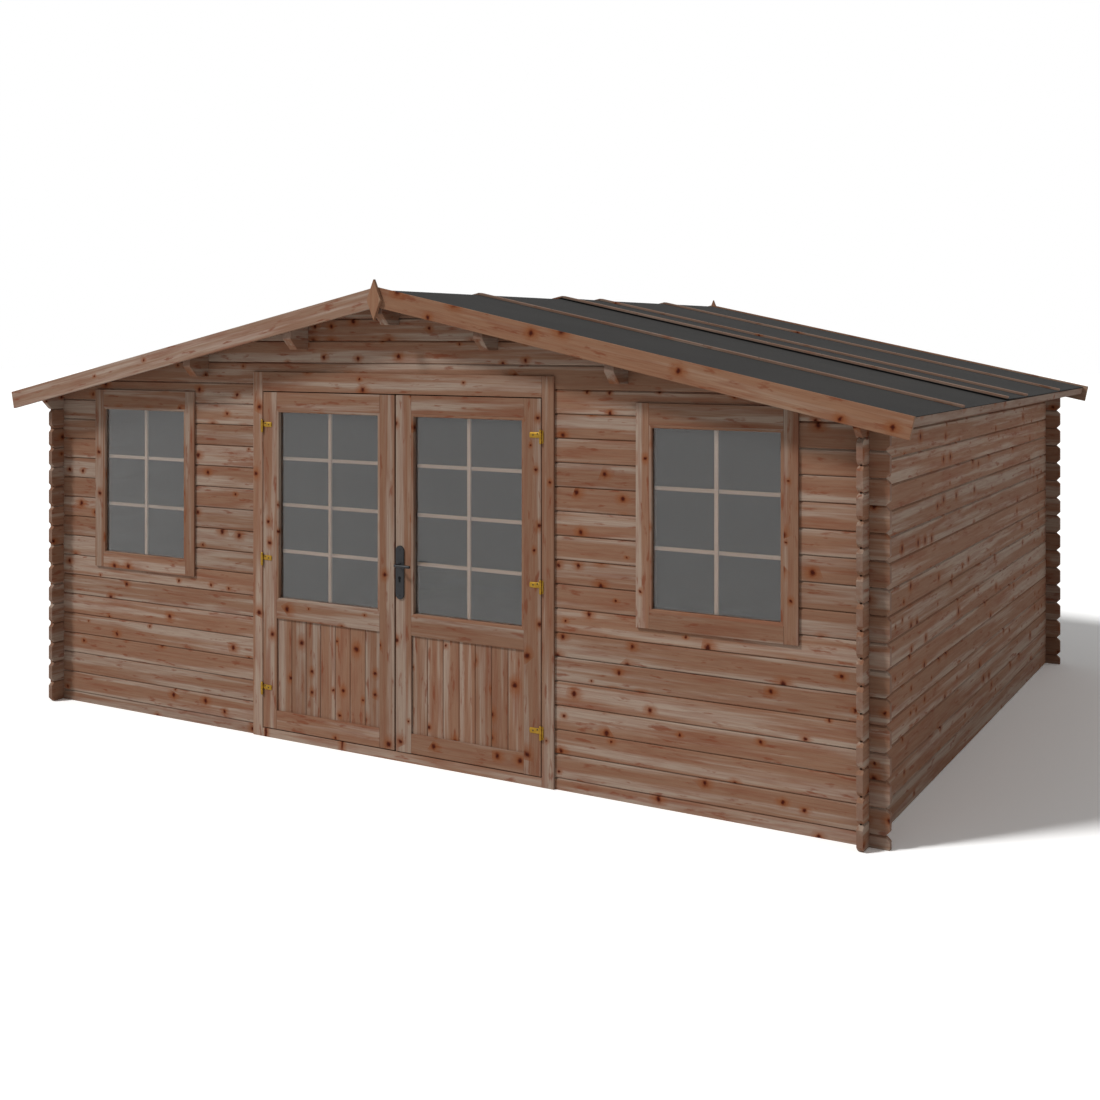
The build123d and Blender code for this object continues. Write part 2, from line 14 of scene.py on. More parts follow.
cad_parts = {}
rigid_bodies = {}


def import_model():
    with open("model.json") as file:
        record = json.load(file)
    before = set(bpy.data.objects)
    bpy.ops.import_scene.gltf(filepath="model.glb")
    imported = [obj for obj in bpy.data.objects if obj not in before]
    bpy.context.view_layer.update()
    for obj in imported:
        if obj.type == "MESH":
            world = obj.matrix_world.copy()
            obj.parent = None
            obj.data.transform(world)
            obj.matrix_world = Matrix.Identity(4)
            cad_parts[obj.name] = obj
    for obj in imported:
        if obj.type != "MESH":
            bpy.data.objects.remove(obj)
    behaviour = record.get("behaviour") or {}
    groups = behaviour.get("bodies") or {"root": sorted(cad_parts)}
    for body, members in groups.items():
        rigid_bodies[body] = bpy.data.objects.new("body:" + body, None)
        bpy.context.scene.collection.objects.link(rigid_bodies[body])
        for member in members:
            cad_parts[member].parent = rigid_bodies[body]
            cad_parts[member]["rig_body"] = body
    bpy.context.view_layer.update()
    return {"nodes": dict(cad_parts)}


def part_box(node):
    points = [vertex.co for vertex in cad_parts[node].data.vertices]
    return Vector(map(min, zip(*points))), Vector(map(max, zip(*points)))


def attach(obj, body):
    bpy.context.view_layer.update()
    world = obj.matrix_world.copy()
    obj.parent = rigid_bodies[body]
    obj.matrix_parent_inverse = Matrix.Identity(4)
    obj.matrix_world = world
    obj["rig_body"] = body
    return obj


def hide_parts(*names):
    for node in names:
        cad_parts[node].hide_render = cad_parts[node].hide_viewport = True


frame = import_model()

LOG = logging.getLogger("log_cabin")

MM = 0.001
PITCH = math.radians(12.0)
SEED = 7


class Side(Enum):
    """The two slopes, windows and leaves, as the CAD nodes are named."""

    LEFT = "left"
    RIGHT = "right"

    @property
    def sign(self) -> float:
        """Way along X: -1 to the left and 1 to the right."""
        return 1.0 if self is Side.RIGHT else -1.0


class End(Enum):
    """The front and the rear, of the cabin and of its doors."""

    FRONT = "front"
    REAR = "rear"

    @property
    def sign(self) -> float:
        """Way along Y: -1 to the front and 1 to the rear."""
        return 1.0 if self is End.REAR else -1.0


class Wall(Enum):
    """The four log walls, as the CAD nodes are named."""

    FRONT = "front"
    REAR = "rear"
    LEFT = "left"
    RIGHT = "right"

    @property
    def along(self) -> Vector:
        """Direction of the wall's logs."""
        return Vector((1, 0, 0)) if self in (Wall.FRONT, Wall.REAR) else Vector((0, 1, 0))

    @property
    def across(self) -> Vector:
        """Direction through the wall."""
        return Vector((self.along.y, self.along.x, 0))


class Courses(Enum):
    """Every second log of a wall, as the CAD nodes hold them."""

    EVEN = "even"
    ODD = "odd"


# Small helpers


def linear(hex_colour: str) -> tuple[float, float, float, float]:
    """Turns an sRGB hex colour to linear RGBA.

    Args:
        hex_colour: six hex digits, with or without a leading hash.

    Returns:
        Linear red, green and blue, and an alpha of 1.
    """
    digits = hex_colour.lstrip("#")
    parts = [int(digits[i:i + 2], 16) / 255 for i in (0, 2, 4)]
    curve = [c / 12.92 if c <= 0.04045 else ((c + 0.055) / 1.055) ** 2.4 for c in parts]
    return curve[0], curve[1], curve[2], 1.0


def add(
    tree: bpy.types.NodeTree, kind: str, inputs: Optional[dict] = None, **settings: Any
) -> bpy.types.Node:
    """Adds a node to a tree.

    Args:
        tree: the node tree.
        kind: the node's type name.
        inputs: value or output socket for each input, by its name or number.
        **settings: the node's own properties.

    Returns:
        The new node.
    """
    node = tree.nodes.new(kind)
    for name, value in settings.items():
        setattr(node, name, value)
    for key, value in (inputs or {}).items():
        if isinstance(value, bpy.types.NodeSocket):
            tree.links.new(value, node.inputs[key])
        else:
            node.inputs[key].default_value = value
    return node


def smooth_box(size: Vector, easing: float) -> bmesh.types.BMesh:
    """A block round the origin with eased arrises.

    Args:
        size: its length along X, Y and Z.
        easing: width of the eased arris.

    Returns:
        The block as a new bmesh.
    """
    bm = bmesh.new()
    bmesh.ops.create_cube(bm, size=1.0, matrix=Matrix.Diagonal((*size, 1.0)))
    ease(bm, easing)
    return bm


def ease(bm: bmesh.types.BMesh, width: float, segments: int = 2) -> None:
    """Rounds every sharp outward arris of a mesh.

    Args:
        bm: the mesh, closed and with flat faces.
        width: width of the rounding.
        segments: faces across the rounding.
    """
    sharp = [e for e in bm.edges if len(e.link_faces) == 2 and e.calc_face_angle(0.0) > math.radians(25)]
    if sharp and width > 0:
        bmesh.ops.bevel(
            bm, geom=sharp, offset=width, segments=segments, profile=0.5, affect="EDGES", clamp_overlap=True
        )


def new_piece(name: str, bm: bmesh.types.BMesh, outward: bool = True) -> bpy.types.Object:
    """Makes an object at the origin from a bmesh and frees the bmesh.

    Args:
        name: the piece's name.
        bm: its mesh, in place.
        outward: recalculates the normals first.

    Returns:
        The linked object.
    """
    if outward:
        bmesh.ops.recalc_face_normals(bm, faces=bm.faces[:])
    mesh = bpy.data.meshes.new(name)
    bm.to_mesh(mesh)
    bm.free()
    piece = bpy.data.objects.new(name, mesh)
    bpy.context.scene.collection.objects.link(piece)
    return piece


def skin(bm: bmesh.types.BMesh, outlines: Sequence[Sequence[Vector]]) -> None:
    """Joins outlines with as many points each into one closed form.

    Args:
        bm: the mesh to add to.
        outlines: the outlines, in order from one end to the other.
    """
    rings = [[bm.verts.new(point) for point in outline] for outline in outlines]
    count = len(rings[0])
    for first, second in zip(rings, rings[1:]):
        for i in range(count):
            j = (i + 1) % count
            bm.faces.new((first[i], first[j], second[j], second[i]))
    bm.faces.new(rings[0][::-1])
    bm.faces.new(rings[-1])


def turns(count: int) -> list[float]:
    """Evenly spaced angles once round."""
    return [math.tau * i / count for i in range(count)]


def dress(piece: bpy.types.Object, material: bpy.types.Material, body: str) -> bpy.types.Object:
    """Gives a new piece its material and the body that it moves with.

    Args:
        piece: the finished piece.
        material: its material.
        body: name of the CAD body.

    Returns:
        The same piece.
    """
    piece.data.materials.clear()
    piece.data.materials.append(material)
    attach(piece, body)
    LOG.info("%s: %d faces on %s", piece.name, len(piece.data.polygons), body)
    return piece


def finish_node(node: str, material: bpy.types.Material) -> None:
    """Gives a CAD node its material.

    Args:
        node: name of the CAD node.
        material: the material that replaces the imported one.
    """
    data = frame["nodes"][node].data
    data.materials.clear()
    data.materials.append(material)
    LOG.info("%s keeps its shape, in %s", node, material.name)


def body_of(node: str) -> str:
    """Name of the CAD body that a node belongs to."""
    return frame["nodes"][node]["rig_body"]


def clean_copy(node: str) -> bmesh.types.BMesh:
    """A CAD node's mesh with shared corners and one face for each flat side.

    Args:
        node: name of the CAD node.

    Returns:
        The copy as a new bmesh.
    """
    bm = bmesh.new()
    bm.from_mesh(frame["nodes"][node].data)
    bmesh.ops.remove_doubles(bm, verts=bm.verts[:], dist=0.02 * MM)
    bmesh.ops.dissolve_limit(bm, angle_limit=math.radians(1), verts=bm.verts[:], edges=bm.edges[:])
    return bm


def solid_boxes(node: str) -> list[tuple[Vector, Vector]]:
    """The box of each separate solid of a CAD node, from the lowest up.

    Args:
        node: name of the CAD node.

    Returns:
        The low and high corner of each.
    """
    mesh = bpy.data.meshes.new(node)
    bm = clean_copy(node)
    bm.to_mesh(mesh)
    bm.free()
    places = np.array([v.co[:] for v in mesh.vertices])
    labels = islands(mesh)
    bpy.data.meshes.remove(mesh)
    parts = [places[labels == label] for label in np.unique(labels)]
    boxes = [(Vector(part.min(0)), Vector(part.max(0))) for part in parts]
    return sorted(boxes, key=lambda box: box[0].z)


# Grain


def islands(mesh: bpy.types.Mesh) -> np.ndarray:
    """Finds which separate part of a mesh each vertex belongs to.

    Args:
        mesh: any mesh.

    Returns:
        One label for each vertex, the same all over one part.
    """
    labels = np.arange(len(mesh.vertices))
    ends = np.empty(len(mesh.edges) * 2, dtype=np.int64)
    mesh.edges.foreach_get("vertices", ends)
    ends = ends.reshape(-1, 2)
    while True:
        before = labels.copy()
        lowest = np.minimum(labels[ends[:, 0]], labels[ends[:, 1]])
        np.minimum.at(labels, ends[:, 0], lowest)
        np.minimum.at(labels, ends[:, 1], lowest)
        labels = labels[labels]
        if np.array_equal(before, labels):
            return labels


def write_grain(mesh: bpy.types.Mesh, tilt: float, seed: int, per_board: bool = True) -> None:
    """Stores on each board the place that its wood reads its figure from.

    The attribute grain is (along, across, through) in metres from the board's middle, board is a random
    number that is the same all over one board, and end is 1 on the faces that cut across the grain.

    Args:
        mesh: the boards, each a separate part.
        tilt: slope of the boards about Y, in radians, positive where they fall towards +X.
        seed: seed of the random numbers.
        per_board: writes board too; a row of copies gets its own from the node tree.
    """
    count = len(mesh.vertices)
    places = np.empty(count * 3)
    mesh.vertices.foreach_get("co", places)
    places = places.reshape(-1, 3)
    c, s = math.cos(tilt), math.sin(tilt)
    turned = np.stack(
        (places[:, 0] * c - places[:, 2] * s, places[:, 1], places[:, 0] * s + places[:, 2] * c), axis=1
    )
    labels = islands(mesh)
    rng = random.Random(seed)
    grain = np.zeros((count, 3))
    board = np.zeros(count)
    for label in np.unique(labels):
        inside = labels == label
        low = turned[inside].min(axis=0)
        high = turned[inside].max(axis=0)
        order = np.argsort(high - low)[::-1]
        grain[inside] = (turned[inside] - (low + high) / 2)[:, order]
        board[inside] = rng.random()
    mesh.attributes.new("grain", "FLOAT_VECTOR", "POINT").data.foreach_set("vector", grain.ravel())
    along = {label: int(np.argmax(np.ptp(turned[labels == label], axis=0))) for label in np.unique(labels)}
    facing = Matrix.Rotation(-tilt, 3, "Y")
    ends = [abs((facing @ f.normal)[along[labels[f.vertices[0]]]]) > 0.9 for f in mesh.polygons]
    mesh.attributes.new("end", "FLOAT", "FACE").data.foreach_set("value", np.array(ends, dtype=np.float32))
    if per_board:
        mesh.attributes.new("board", "FLOAT", "POINT").data.foreach_set("value", board)


def cut(piece: bpy.types.Object, cutter: bpy.types.Object) -> None:
    """Cuts the shape of one object out of another.

    Args:
        piece: the object that is cut.
        cutter: the object whose shape is taken out.
    """
    modifier = piece.modifiers.new("cut", "BOOLEAN")
    modifier.operation = "DIFFERENCE"
    modifier.solver = "EXACT"
    modifier.object = cutter
    graph = bpy.context.evaluated_depsgraph_get()
    made = bpy.data.meshes.new_from_object(piece.evaluated_get(graph), depsgraph=graph)
    piece.modifiers.clear()
    made.name = piece.name
    piece.data = made


@dataclass
class Carpenter:
    """Cuts and eases wooden pieces, and gives every board its own wood."""

    timber: bpy.types.Material
    drawn: int = 0

    def next_seed(self) -> int:
        """A new seed for the next piece."""
        self.drawn += 1
        return SEED * 1000 + self.drawn

    def finish(self, piece: bpy.types.Object, body: str, tilt: float = 0.0) -> bpy.types.Object:
        """Writes the grain of a new piece and dresses it in wood.

        Args:
            piece: the piece, one separate part for each board.
            body: the CAD body that it moves with.
            tilt: slope of its boards about Y.

        Returns:
            The same piece.
        """
        write_grain(piece.data, tilt, self.next_seed())
        return dress(piece, self.timber, body)

    def eased(
        self, node: str, easing: float, tilt: float = 0.0, cutter: Optional[bpy.types.Object] = None
    ) -> bpy.types.Object:
        """Replaces a CAD node by its own boards with rounded arrises.

        Args:
            node: name of the CAD node.
            easing: width of the rounding.
            tilt: slope of its boards about Y.
            cutter: an object whose shape is cut out of the boards.

        Returns:
            The new piece.
        """
        bm = clean_copy(node)
        ease(bm, easing)
        piece = new_piece(f"{node}_timber", bm)
        if cutter is not None:
            cut(piece, cutter)
        self.finish(piece, body_of(node), tilt)
        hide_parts(node)
        return piece


# Finishes


def new_material(name: str) -> tuple[bpy.types.Material, bpy.types.NodeTree, bpy.types.Node]:
    """Makes a material with node shading.

    Args:
        name: its name.

    Returns:
        The material, its tree and its Principled shader.
    """
    material = bpy.data.materials.new(name)
    material.use_nodes = True
    tree = material.node_tree
    return material, tree, tree.nodes["Principled BSDF"]


@dataclass(frozen=True)
class Streak:
    """One kind of long soft streak along the grain.

    along and across are its repeats per metre, and it fades in between the noise levels low and high.
    """

    along: float
    across: float
    low: float
    high: float
    detail: float


@dataclass(frozen=True)
class TreatedPine:
    """Pressure treated pine, planed: matt, red brown, with greyer sapwood and dark red knots."""

    name: str = "Treated_planed_pine"
    heart: str = "#83634F"
    sap: str = "#9E8F81"
    stain: str = "#723D28"
    halo: str = "#7A421E"
    rim: str = "#5C240A"
    knot: str = "#380F05"
    end_grain: str = "#735C50"
    knot_spacing: float = 122 * MM
    knot_share: float = 0.33
    knot_radius: float = 15 * MM
    ring_width: float = 8 * MM      # three times the real one, so that it shows from the front
    knot_wander: float = 14 * MM
    heart_depth: float = 55 * MM    # from the board's middle back to the tree's heart
    heart_shift: float = 30 * MM
    ring_wander: float = 60 * MM
    ring_push: float = 9 * MM
    roughness: float = 0.8
    gloss: float = 0.1
    fibres: Streak = Streak(11.0, 230.0, 0.35, 0.75, 3.0)
    figure: Streak = Streak(2.2, 66.0, 0.42, 0.66, 4.0)
    sapwood: Streak = Streak(0.6, 15.0, 0.46, 0.60, 4.0)
    stains: Streak = Streak(2.6, 21.0, 0.50, 0.70, 4.0)
    smears: Streak = Streak(8.0, 36.0, 0.58, 0.70, 4.0)

    def build(self) -> bpy.types.Material:
        """Makes the material.

        Returns:
            A material that reads the attributes grain, board and end.
        """
        material, tree, shader = new_material(self.name)
        shader.inputs["Roughness"].default_value = self.roughness
        shader.inputs["Specular IOR Level"].default_value = self.gloss
        board = add(tree, "ShaderNodeAttribute", attribute_name="board").outputs["Fac"]
        end = add(tree, "ShaderNodeAttribute", attribute_name="end").outputs["Fac"]
        grain = add(tree, "ShaderNodeAttribute", attribute_name="grain").outputs["Vector"]
        shift = add(tree, "ShaderNodeVectorMath", {0: board, 1: (61.0, 37.0, 23.0)}, operation="MULTIPLY")
        place = add(tree, "ShaderNodeVectorMath", {0: grain, 1: shift.outputs[0]}, operation="ADD").outputs[0]
        core, rim, halo = self.knots(tree, place)
        rings = self.rings(tree, grain, place, board, halo)
        kinds = (self.fibres, self.figure, self.sapwood, self.stains, self.smears)
        fibres, figure, sap, stain, smears = [self.streaks(tree, place, kind) for kind in kinds]
        colour = linear(self.heart)
        for mask, tint, strength in (
            (sap, self.sap, 0.72),
            (stain, self.stain, 0.42),
            (smears, self.stain, 0.74),
            (figure, self.stain, 0.28),
            (rings, self.stain, 0.10),
            (fibres, self.knot, 0.13),
            (halo, self.halo, 0.66),
            (rim, self.rim, 0.85),
            (core, self.knot, 0.95),
            (end, self.end_grain, 0.65),
        ):
            amount = add(tree, "ShaderNodeMath", {0: mask, 1: strength}, operation="MULTIPLY").outputs[0]
            mix = add(tree, "ShaderNodeMix", {0: amount, 6: colour, 7: linear(tint)}, data_type="RGBA")
            colour = mix.outputs[2]
        tone = add(tree, "ShaderNodeMapRange", {0: board, 3: 0.9, 4: 1.1}).outputs[0]
        toned = add(tree, "ShaderNodeHueSaturation", {"Value": tone, "Color": colour})
        tree.links.new(toned.outputs[0], shader.inputs["Base Color"])
        height = add(tree, "ShaderNodeMath", {0: fibres, 1: rings}, operation="ADD").outputs[0]
        bump = add(tree, "ShaderNodeBump", {"Strength": 0.25, "Distance": 0.5 * MM, "Height": height})
        tree.links.new(bump.outputs[0], shader.inputs["Normal"])
        return material

    def streaks(
        self, tree: bpy.types.NodeTree, place: bpy.types.NodeSocket, kind: Streak
    ) -> bpy.types.NodeSocket:
        """Long soft streaks along the grain.

        Args:
            tree: the material's tree.
            place: the point in the log.
            kind: the size and strength of the streaks.

        Returns:
            A mask from 0 to 1.
        """
        stretch = (kind.along, kind.across, kind.across)
        point = add(tree, "ShaderNodeVectorMath", {0: place, 1: stretch}, operation="MULTIPLY").outputs[0]
        noise = add(
            tree,
            "ShaderNodeTexNoise",
            {"Vector": point, "Scale": 1.0, "Detail": kind.detail, "Roughness": 0.56},
        )
        mask = add(
            tree,
            "ShaderNodeMapRange",
            {0: noise.outputs[0], 1: kind.low, 2: kind.high},
            interpolation_type="SMOOTHSTEP",
        )
        return mask.outputs[0]

    def knots(self, tree: bpy.types.NodeTree, place: bpy.types.NodeSocket) -> list[bpy.types.NodeSocket]:
        """Round knots through the board, in some of the cells of a scatter.

        Args:
            tree: the material's tree.
            place: the point in the log.

        Returns:
            The masks of the knots, of their softer rims and of the stained wood round them.
        """
        waves = add(tree, "ShaderNodeTexNoise", {"Vector": place, "Scale": 55.0, "Detail": 2.0})
        push = add(
            tree,
            "ShaderNodeVectorMath",
            {0: waves.outputs["Color"], 1: (0.5, 0.5, 0.5)},
            operation="SUBTRACT",
        ).outputs[0]
        push = add(
            tree,
            "ShaderNodeVectorMath",
            {0: push, 1: (self.knot_wander, self.knot_wander, 0.0)},
            operation="MULTIPLY",
        ).outputs[0]
        uneven = add(tree, "ShaderNodeVectorMath", {0: place, 1: push}, operation="ADD").outputs[0]
        cells = add(
            tree,
            "ShaderNodeTexVoronoi",
            {"Vector": place, "Scale": 1.0 / self.knot_spacing, "Randomness": 0.9},
            voronoi_dimensions="2D",
        )
        chance = add(tree, "ShaderNodeSeparateColor", {0: cells.outputs["Color"]})
        there = add(
            tree, "ShaderNodeMath", {0: chance.outputs[0], 1: self.knot_share}, operation="LESS_THAN"
        ).outputs[0]
        radius = add(
            tree, "ShaderNodeMapRange", {0: chance.outputs[1], 3: self.knot_radius * 0.3, 4: self.knot_radius}
        ).outputs[0]
        away = add(
            tree, "ShaderNodeVectorMath", {0: uneven, 1: cells.outputs["Position"]}, operation="SUBTRACT"
        ).outputs[0]
        masks = []
        for stretch, inner, outer in (
            ((1.0, 0.85, 0.0), 0.3, 0.9),
            ((0.85, 0.75, 0.0), 0.4, 1.4),
            ((0.5, 0.7, 0.0), 0.5, 2.5),
        ):
            flat = add(tree, "ShaderNodeVectorMath", {0: away, 1: stretch}, operation="MULTIPLY").outputs[0]
            length = add(tree, "ShaderNodeVectorMath", {0: flat}, operation="LENGTH").outputs["Value"]
            share = add(tree, "ShaderNodeMath", {0: length, 1: radius}, operation="DIVIDE").outputs[0]
            disc = add(
                tree,
                "ShaderNodeMapRange",
                {0: share, 1: outer, 2: inner, 3: 0.0, 4: 1.0},
                interpolation_type="SMOOTHSTEP",
            ).outputs[0]
            masks.append(add(tree, "ShaderNodeMath", {0: disc, 1: there}, operation="MULTIPLY").outputs[0])
        return masks

    def rings(
        self,
        tree: bpy.types.NodeTree,
        grain: bpy.types.NodeSocket,
        place: bpy.types.NodeSocket,
        board: bpy.types.NodeSocket,
        halo: bpy.types.NodeSocket,
    ) -> bpy.types.NodeSocket:
        """Year rings round a heart line behind the board's face, pushed aside by knots.

        Args:
            tree: the material's tree.
            grain: the point from the board's middle.
            place: the point in the log.
            board: the board's random number.
            halo: the mask of the wood round the knots.

        Returns:
            A mask that is 1 on the dark late wood.
        """
        axes = add(tree, "ShaderNodeSeparateXYZ", {0: grain})
        shift = self.heart_shift
        sideways = add(tree, "ShaderNodeMapRange", {0: board, 3: -shift, 4: shift}).outputs[0]
        across = add(tree, "ShaderNodeMath", {0: axes.outputs[1], 1: sideways}, operation="ADD").outputs[0]
        depth = self.heart_depth
        through = add(tree, "ShaderNodeMath", {0: axes.outputs[2], 1: depth}, operation="ADD").outputs[0]
        section = add(tree, "ShaderNodeCombineXYZ", {1: across, 2: through}).outputs[0]
        radius = add(tree, "ShaderNodeVectorMath", {0: section}, operation="LENGTH").outputs["Value"]
        point = add(
            tree, "ShaderNodeVectorMath", {0: place, 1: (1.1, 5.0, 5.0)}, operation="MULTIPLY"
        ).outputs[0]
        noise = add(tree, "ShaderNodeTexNoise", {"Vector": point, "Scale": 1.0, "Detail": 2.0}).outputs[0]
        wander = add(
            tree, "ShaderNodeMath", {0: noise, 1: self.ring_wander}, operation="MULTIPLY"
        ).outputs[0]
        round_knots = add(
            tree, "ShaderNodeMath", {0: halo, 1: self.ring_push}, operation="MULTIPLY"
        ).outputs[0]
        total = add(tree, "ShaderNodeMath", {0: radius, 1: wander}, operation="ADD").outputs[0]
        total = add(tree, "ShaderNodeMath", {0: total, 1: round_knots}, operation="ADD").outputs[0]
        per_metre = math.tau / self.ring_width
        phase = add(tree, "ShaderNodeMath", {0: total, 1: per_metre}, operation="MULTIPLY").outputs[0]
        wave = add(tree, "ShaderNodeMath", {0: phase}, operation="SINE").outputs[0]
        mask = add(
            tree, "ShaderNodeMapRange", {0: wave, 1: 0.1, 2: 1.0}, interpolation_type="SMOOTHSTEP"
        )
        return mask.outputs[0]


@dataclass(frozen=True)
class MineralFelt:
    """Bitumen felt with a pressed mineral face: dull charcoal, finely speckled."""

    name: str = "Mineral_roofing_felt"
    colour: str = "#323130"
    fleck: str = "#464442"
    grit: float = 5 * MM            # coarser than real grit, so that it shows
    roughness: float = 0.95
    gloss: float = 0.08

    def build(self) -> bpy.types.Material:
        """Makes the material, on Object coordinates."""
        material, tree, shader = new_material(self.name)
        shader.inputs["Roughness"].default_value = self.roughness
        shader.inputs["Specular IOR Level"].default_value = self.gloss
        place = add(tree, "ShaderNodeTexCoord").outputs["Object"]
        grit = add(tree, "ShaderNodeTexNoise", {"Vector": place, "Scale": 1 / self.grit, "Detail": 2.0})
        worn = add(tree, "ShaderNodeTexNoise", {"Vector": place, "Scale": 1.7, "Detail": 4.0})
        speckle = add(tree, "ShaderNodeMapRange", {0: grit.outputs[0], 1: 0.5, 2: 0.8, 4: 0.5}).outputs[0]
        cloud = add(tree, "ShaderNodeMapRange", {0: worn.outputs[0], 1: 0.4, 2: 0.7, 4: 0.18}).outputs[0]
        amount = add(tree, "ShaderNodeMath", {0: speckle, 1: cloud}, operation="ADD").outputs[0]
        mix = add(
            tree,
            "ShaderNodeMix",
            {0: amount, 6: linear(self.colour), 7: linear(self.fleck)},
            data_type="RGBA",
        )
        tree.links.new(mix.outputs[2], shader.inputs["Base Color"])
        bump = add(
            tree, "ShaderNodeBump", {"Strength": 0.4, "Distance": 0.6 * MM, "Height": grit.outputs[0]}
        )
        tree.links.new(bump.outputs[0], shader.inputs["Normal"])
        return material


@dataclass(frozen=True)
class FloatGlass:
    """Float glass with a film of dust: it shows the pale sky softly over a dark, blurred room."""

    name: str = "Float_glass"
    colour: str = "#E4E4E2"
    ior: float = 1.52
    film: tuple[float, float] = (0.15, 0.22)
    dust: float = 0.022     # share of the light that the dust scatters

    def build(self) -> bpy.types.Material:
        """Makes the material, with the film of dust in its roughness."""
        material, tree, shader = new_material(self.name)
        shader.inputs["Base Color"].default_value = linear(self.colour)
        shader.inputs["IOR"].default_value = self.ior
        shader.inputs["Transmission Weight"].default_value = 1.0 - self.dust
        place = add(tree, "ShaderNodeTexCoord").outputs["Object"]
        noise = add(tree, "ShaderNodeTexNoise", {"Vector": place, "Scale": 6.0, "Detail": 4.0})
        low, high = self.film
        film = add(tree, "ShaderNodeMapRange", {0: noise.outputs[0], 1: 0.4, 2: 0.8, 3: low, 4: high})
        tree.links.new(film.outputs[0], shader.inputs["Roughness"])
        return material


@dataclass(frozen=True)
class Metal:
    """A metal or painted metal part, with a finely uneven surface.

    grain is the size of the unevenness, so that stamped brass looks drawn and a powder coat pebbled.
    """

    name: str
    colour: str
    worn: str
    metallic: float
    roughness: float
    grain: float
    bump: float = 0.12
    gloss: float = 0.5

    def build(self) -> bpy.types.Material:
        """Makes the material, on Object coordinates."""
        material, tree, shader = new_material(self.name)
        shader.inputs["Metallic"].default_value = self.metallic
        if self.metallic < 1.0:
            shader.inputs["Specular IOR Level"].default_value = self.gloss
        place = add(tree, "ShaderNodeTexCoord").outputs["Object"]
        fine = add(tree, "ShaderNodeTexNoise", {"Vector": place, "Scale": 1 / self.grain, "Detail": 3.0})
        broad = add(tree, "ShaderNodeTexNoise", {"Vector": place, "Scale": 60.0, "Detail": 3.0})
        wear = add(tree, "ShaderNodeMapRange", {0: broad.outputs[0], 1: 0.45, 2: 0.75, 4: 0.6}).outputs[0]
        mix = add(
            tree, "ShaderNodeMix", {0: wear, 6: linear(self.colour), 7: linear(self.worn)}, data_type="RGBA"
        )
        tree.links.new(mix.outputs[2], shader.inputs["Base Color"])
        gloss = add(
            tree,
            "ShaderNodeMapRange",
            {0: broad.outputs[0], 3: self.roughness - 0.06, 4: self.roughness + 0.1},
        )
        tree.links.new(gloss.outputs[0], shader.inputs["Roughness"])
        bump = add(
            tree,
            "ShaderNodeBump",
            {"Strength": self.bump, "Distance": 0.2 * MM, "Height": fine.outputs[0]},
        )
        tree.links.new(bump.outputs[0], shader.inputs["Normal"])
        return material


@dataclass(frozen=True)
class Finishes:
    """Every material of the cabin, made once."""

    pine: bpy.types.Material
    trim: bpy.types.Material
    pale: bpy.types.Material
    weathered: bpy.types.Material
    bars: bpy.types.Material
    felt: bpy.types.Material
    bitumen: bpy.types.Material
    glass: bpy.types.Material
    brass: bpy.types.Material
    coated: bpy.types.Material
    zinc: bpy.types.Material
    black: bpy.types.Material

    @classmethod
    def make(cls) -> "Finishes":
        """Makes all the materials."""
        return cls(
            pine=TreatedPine().build(),
            felt=MineralFelt().build(),
            glass=FloatGlass().build(),
            trim=TreatedPine(
                name="Treated_pine_trim",
                heart="#89664F",
                sap="#9B8572",
                end_grain="#7C6553",
                knot_share=0.46,
                knot_spacing=190 * MM,
                knot_radius=21 * MM,
            ).build(),
            pale=TreatedPine(
                name="Treated_pine_sapwood",
                heart="#876C5A",
                sap="#A49285",
                end_grain="#8A7464",
                knot_share=0.3,
                knot_spacing=190 * MM,
            ).build(),
            weathered=TreatedPine(
                name="Greyed_pine_strip", heart="#7C6557", sap="#8C7A6D", stain="#66422F", knot_share=0.25
            ).build(),
            # Painted light: the glazing bars' pine is made far paler than the rest, standing in for the sun
            # that the glass keeps from them.
            bars=TreatedPine(
                name="Planed_glazing_bar_pine",
                heart="#F0CCB4",
                sap="#F4DCCB",
                stain="#D8B39C",
                knot_share=0.0,
            ).build(),
            # Near-black bitumen core of the felt; along the lap's lit front edge it is painted shade.
            bitumen=Metal("Bare_bitumen_edge", "#0F0F0F", "#161615", 0.0, 0.9, 4 * MM, 0.3, 0.05).build(),
            brass=Metal("Yellow_passivated_hinge_steel", "#8E6D28", "#A3823A", 1.0, 0.33, 1.2 * MM).build(),
            coated=Metal("Charcoal_powder_coat", "#2A2A2C", "#323234", 0.0, 0.4, 1.5 * MM, 0.3, 0.2).build(),
            zinc=Metal("Dull_zinc_fastener", "#3E3A34", "#2C2924", 1.0, 0.5, 1.0 * MM).build(),
            # Painted shade: the near-black of the lock cylinder stands in for the dark inside the keyhole.
            black=Metal("Blackened_lock_steel", "#070708", "#0C0C0D", 0.0, 0.6, 1.5 * MM, 0.12, 0.1).build(),
        )


# Node trees for what repeats


